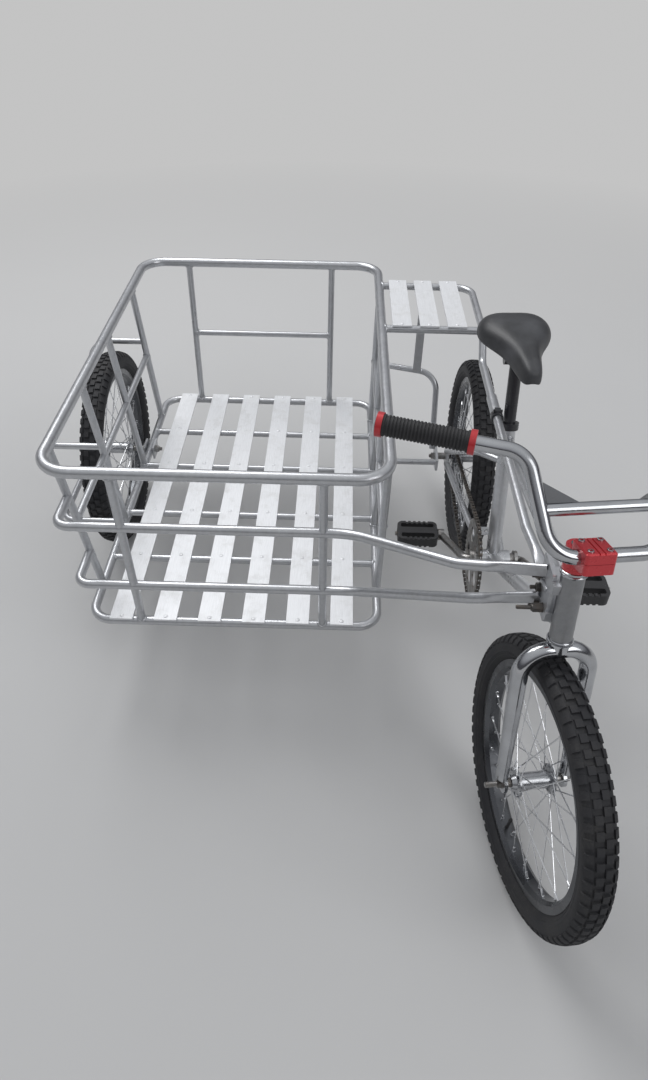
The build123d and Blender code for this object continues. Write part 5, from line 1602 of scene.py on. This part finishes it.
@dataclass
class Fittings:
    """Small hardware on the frame: bracket bolts, slat rivets, stay clamp, seat clamp bolt and headset."""

    bolt_across: float = 13.0
    bolt_height: float = 6.0
    # outlines of round parts: along their axis, radius
    bolt_crown: Rows = ((6.0, 6.0), (6.8, 5.2))
    bolt_washer: Rows = ((-1.2, 8.0), (0.0, 8.0))
    bolt_end: Rows = ((6.8, 3.4), (15.0, 3.4), (15.6, 2.8))
    rivet: Rows = ((0.0, 4.6), (0.7, 4.4), (1.3, 3.4), (1.6, 1.6))
    stay_clamp: Rows = ((-8.0, 8.7), (-8.0, 11.6), (-7.0, 12.6), (7.0, 12.6), (8.0, 11.6), (8.0, 8.7))
    stay_screw: Rows = ((-9.5, 3.2), (9.5, 3.2))
    seat_screw: Rows = ((-12.0, 4.2), (-12.0, 4.4), (-8.0, 4.4), (8.0, 4.4), (12.5, 4.4), (13.0, 4.0))
    # outlines of the ears that the screws go through, and half their widths
    stay_ear: Rows = ((-6.0, -3.0), (6.0, -3.0), (6.0, 4.5), (-6.0, 4.5))
    stay_ear_half: float = 6.0
    seat_ear: Rows = ((-6.4, -5.0), (6.4, -5.0), (6.4, 4.0), (-6.4, 4.0))
    seat_ear_half: float = 8.0
    bolt_spots: Sequence[Point] = ((334.8, -359.0, 590.0), (334.8, -356.0, 612.0), (334.8, -372.0, 562.0))
    long_bolt_spot: Point = (334.8, -392.0, 578.0)
    long_bolt_share: float = 2.6
    floor_rivet_z: float = 267.5
    floor_rivet_ys: Sequence[float] = (740.0, 562.0, 400.0, 205.0, 45.0, -145.0)
    slat_count: int = 6
    slat_first_x: float = -425.0
    slat_pitch: float = 91.0
    carrier_rivet_z: float = 669.5
    carrier_rivet_xs: Sequence[float] = (150.0, 212.0, 274.0)
    carrier_rivet_ys: Sequence[float] = (393.0, 630.0)
    stay_ring: Point = (333.0, 117.0, 604.0)
    stay_ear_up: float = 13.5
    seat_clamp_z: float = 572.0
    seat_clamp_up: float = 7.0
    seat_ear_back: float = 23.5
    headset_bore: float = 12.1
    # from the head tube's end outwards, radius; the bore closes it
    cup: Rows = ((0.0, 19.4), (1.2, 20.4), (3.0, 20.8), (4.2, 20.0), (5.2, 18.6), (5.8, 20.2), (8.2, 20.2),
                 (9.0, 19.0))

    def bolts(self, tool: SpotTool) -> None:
        """Make and settle the dark bolts of the head bracket.

        Args:
            tool: the tool that copies a block to spots.
        """
        shape = Shape()
        shape.prism(hexagon(self.bolt_across), 0.0, self.bolt_height, HERE)
        shape.lathe(self.bolt_crown, HERE, 16)
        shape.lathe(self.bolt_washer, HERE, 18)
        shape.lathe(self.bolt_end, HERE, 12)
        rows = [(frame_of(spot(*place), -ACROSS, UP), WHOLE) for place in self.bolt_spots]
        rows.append((frame_of(spot(*self.long_bolt_spot), -ACROSS, UP), Vector((self.long_bolt_share, 1.0, 1.0))))
        mesh = tool.at(rows, shape.mesh("bolt"), DARK_STEEL)
        shade(mesh, 30.0)
        settle("bracket_bolts", mesh, DARK_STEEL, "chassis")

    def rivets(self, tool: SpotTool) -> None:
        """Make and settle the flat heads that hold the slats to their tubes.

        Args:
            tool: the tool that copies a block to spots.
        """
        shape = Shape()
        shape.lathe(self.rivet, HERE, 12)
        spots = [spot(self.slat_first_x + self.slat_pitch * index, y, self.floor_rivet_z)
                 for index in range(self.slat_count) for y in self.floor_rivet_ys]
        spots += [spot(x, y, self.carrier_rivet_z) for x in self.carrier_rivet_xs for y in self.carrier_rivet_ys]
        rows = [(frame_of(place, UP, ACROSS), WHOLE) for place in spots]
        mesh = tool.at(rows, shape.mesh("rivet"), SLAT_PAINT)
        shade(mesh, 40.0)
        settle("slat_rivets", mesh, SLAT_PAINT, "chassis")

    def clamps(self) -> None:
        """Make and settle the black ring on the long stay and the seat clamp's bolt."""
        shape = Shape()
        x, y, z = self.stay_ring
        shape.lathe(self.stay_clamp, frame_of(spot(x, y, z), BACKWARDS, UP), 30, ring=True)
        place = frame_of(spot(x, y, z + self.stay_ear_up), ACROSS, BACKWARDS)
        shape.prism(self.stay_ear, -self.stay_ear_half, self.stay_ear_half, place)
        shape.lathe(self.stay_screw, place, 12)
        middle = PEDAL_AXLE + SEAT_UP * ((self.seat_clamp_z - PEDAL_AXLE.z) / SEAT_UP.z + self.seat_clamp_up)
        back = ACROSS.cross(SEAT_UP)
        place = frame_of((middle - back * self.seat_ear_back - SOURCE_MIDDLE) / 1000.0, ACROSS, SEAT_UP)
        shape.prism(self.seat_ear, -self.seat_ear_half, self.seat_ear_half, place)
        shape.lathe(self.seat_screw, place, 14)
        settle("black_clamps", shape.mesh("black_clamps"), POST_BLACK, "chassis")

    def headset(self) -> None:
        """Make and settle the stepped headset cups with their lock nut."""
        shape = Shape()
        outline = ((self.cup[0][0], self.headset_bore), *self.cup, (self.cup[-1][0], self.headset_bore))
        for way in (-STEER_UP, STEER_UP):
            end = (HEAD_MIDDLE + way * HEAD_HALF - SOURCE_MIDDLE) / 1000.0
            shape.lathe(outline, frame_of(end, way, ACROSS), 40, ring=True)
        settle("stepped_headset", shape.mesh("stepped_headset", 28.0), PLATING, "chassis", ("headset_cups",))

    def build(self, tool: SpotTool, bar: Handlebar) -> None:
        """Make and settle all of them, and the handlebar's bolts and gusset faces with their painted dark reflection.

        Args:
            tool: the tool that copies a block to spots.
            bar: the handlebar.
        """
        self.bolts(tool)
        bar.stem_bolts(tool)
        bar.gusset_painted_reflections()
        self.rivets(tool)
        self.clamps()
        self.headset()


@dataclass
class Studio:
    """Pale floor, plain world light, soft lamps and the camera."""

    floor_size: float = 60.0
    floor_tone: float = 0.60
    # the darker spots' share of the floor's tone
    floor_mottle: float = 0.985
    far_tone: float = 0.55
    # metres from the middle over which the far tone takes over
    fade: tuple[float, float] = (1.6, 4.2)
    # height above the horizon, colour
    sky: Sequence[tuple[float, Colour]] = (
        (0.0, (0.10, 0.10, 0.11)), (0.20, (0.14, 0.14, 0.155)), (0.46, (0.60, 0.61, 0.64)), (1.0, (0.96, 0.98, 1.0)))
    sky_strength: float = 0.72
    key_watts: float = 70.0
    fill_watts: float = 26.0

    def camera(self) -> None:
        """Put the camera where the photograph was taken from."""
        data = bpy.data.cameras.new("camera")
        data.sensor_fit = "VERTICAL"
        data.sensor_height = 36.0
        data.lens = data.sensor_height * FOCAL_PIXELS / IMAGE_HEIGHT
        down = math.radians(CAMERA_DOWN)
        turn = math.radians(CAMERA_TURN)
        roll = math.radians(CAMERA_ROLL)
        ahead = Vector((math.sin(turn) * math.cos(down), math.cos(turn) * math.cos(down), -math.sin(down)))
        right = Vector((math.cos(turn), -math.sin(turn), 0.0))
        up = right.cross(ahead)
        rolled_right = right * math.cos(roll) + up * math.sin(roll)
        rolled_up = up * math.cos(roll) - right * math.sin(roll)
        camera = bpy.data.objects.new("camera", data)
        turned = Matrix((rolled_right, rolled_up, -ahead)).transposed().to_4x4()
        camera.matrix_world = Matrix.Translation(CAMERA_PLACE) @ turned
        bpy.context.collection.objects.link(camera)
        bpy.context.scene.camera = camera

    def floor(self) -> None:
        """Lay the pale floor."""
        half = self.floor_size / 2
        mesh = bpy.data.meshes.new("floor")
        mesh.from_pydata([(-half, -half, 0), (half, -half, 0), (half, half, 0), (-half, half, 0)], [], [(0, 1, 2, 3)])
        floor = bpy.data.objects.new("floor", mesh)
        bpy.context.collection.objects.link(floor)
        material = bpy.data.materials.new("pale floor")
        material.use_nodes = True
        material.node_tree.nodes.clear()
        graph = Graph(material.node_tree)
        tone = graph.noise(graph.place(), 3.0, 4.0).band(0.2, 0.8)
        colour = graph.blend(tone, (self.floor_tone * self.floor_mottle,) * 3, (self.floor_tone,) * 3)
        shader = graph.add("ShaderNodeBsdfDiffuse", None, {"Color": colour, "Roughness": 0.6})
        far = graph.add("ShaderNodeVectorMath", {"operation": "LENGTH"}, {0: graph.place()}).out("Value")
        ray = graph.add("ShaderNodeLightPath")
        seen = ray.out("Is Camera Ray").most(ray.out("Is Glossy Ray")).most(ray.out("Is Transmission Ray"))
        plain = graph.add("ShaderNodeEmission", None, {"Color": (self.far_tone,) * 3, "Strength": 1.0})
        both = graph.add("ShaderNodeMixShader", None, {0: far.band(*self.fade) * seen, 1: shader.out(), 2: plain.out()})
        graph.add("ShaderNodeOutputMaterial", None, {"Surface": both.out()})
        mesh.materials.append(material)

    def world(self) -> None:
        """Give the world a plain light, paler overhead than near the ground."""
        world = bpy.data.worlds.new("studio")
        world.use_nodes = True
        world.node_tree.nodes.clear()
        bpy.context.scene.world = world
        graph = Graph(world.node_tree)
        way = graph.add("ShaderNodeTexCoord").out("Generated")
        height = graph.add("ShaderNodeSeparateXYZ", None, {0: way}).out(2)
        sky = graph.add("ShaderNodeValToRGB", {"stops": self.sky}, {0: height.most(0.0)}).out()
        lit = graph.add("ShaderNodeBackground", None, {"Color": sky, "Strength": self.sky_strength})
        seen = graph.add("ShaderNodeBackground", None, {"Color": (self.far_tone,) * 3, "Strength": 1.0})
        ray = graph.add("ShaderNodeLightPath").out("Is Camera Ray")
        both = graph.add("ShaderNodeMixShader", None, {0: ray, 1: lit.out(), 2: seen.out()})
        graph.add("ShaderNodeOutputWorld", None, {"Surface": both.out()})

    def lamp(self, name: str, place: Point, aim: Point, size: float, watts: float) -> None:
        """Hang one soft lamp.

        Args:
            name: the lamp's name.
            place: where it hangs.
            aim: what it points at.
            size: its side.
            watts: its power.
        """
        data = bpy.data.lights.new(name, "AREA")
        data.shape = "SQUARE"
        data.size = size
        data.energy = watts
        lamp = bpy.data.objects.new(name, data)
        way = Vector(aim) - Vector(place)
        lamp.matrix_world = Matrix.Translation(place) @ way.to_track_quat("-Z", "Y").to_matrix().to_4x4()
        bpy.context.collection.objects.link(lamp)

    def build(self) -> None:
        """Set up the whole studio."""
        self.camera()
        self.floor()
        self.world()
        self.lamp("key", place=(-1.3, 1.6, 3.4), aim=(0.0, 0.1, 0.2), size=2.2, watts=self.key_watts)
        self.lamp("fill", place=(2.4, -2.2, 2.6), aim=(0.0, 0.0, 0.3), size=2.0, watts=self.fill_watts)
        bpy.context.scene.view_settings.view_transform = "Standard"


def dress_nodes(nodes: dict[str, bpy.types.Object]) -> None:
    """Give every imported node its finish.

    Args:
        nodes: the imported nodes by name.
    """
    for finish, names in NODE_FINISHES.items():
        for name in names:
            mesh = nodes[name].data
            mesh.materials.clear()
            mesh.materials.append(finish.material())
        LOG.info("%s on %d nodes", finish.name, len(names))


def main() -> None:
    """Load the frame, dress it and set up the studio."""
    logging.basicConfig(level=logging.INFO, format="%(message)s")
    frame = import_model()
    dress_nodes(frame["nodes"])
    joints = {joint["name"]: joint for joint in frame["joints"]}
    rings, spots, seams = RingTool(), SpotTool(), SeamTool()
    bar = Handlebar()
    for name in ("front", "rear", "side"):
        Wheel(name).build(rings, joints)
    Saddle().build()
    bar.grips()
    Chain().build(spots)
    Axles().build(joints)
    Welds().build(seams)
    Fittings().build(spots, bar)
    Studio().build()
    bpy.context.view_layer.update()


if __name__ == "__main__":
    main()
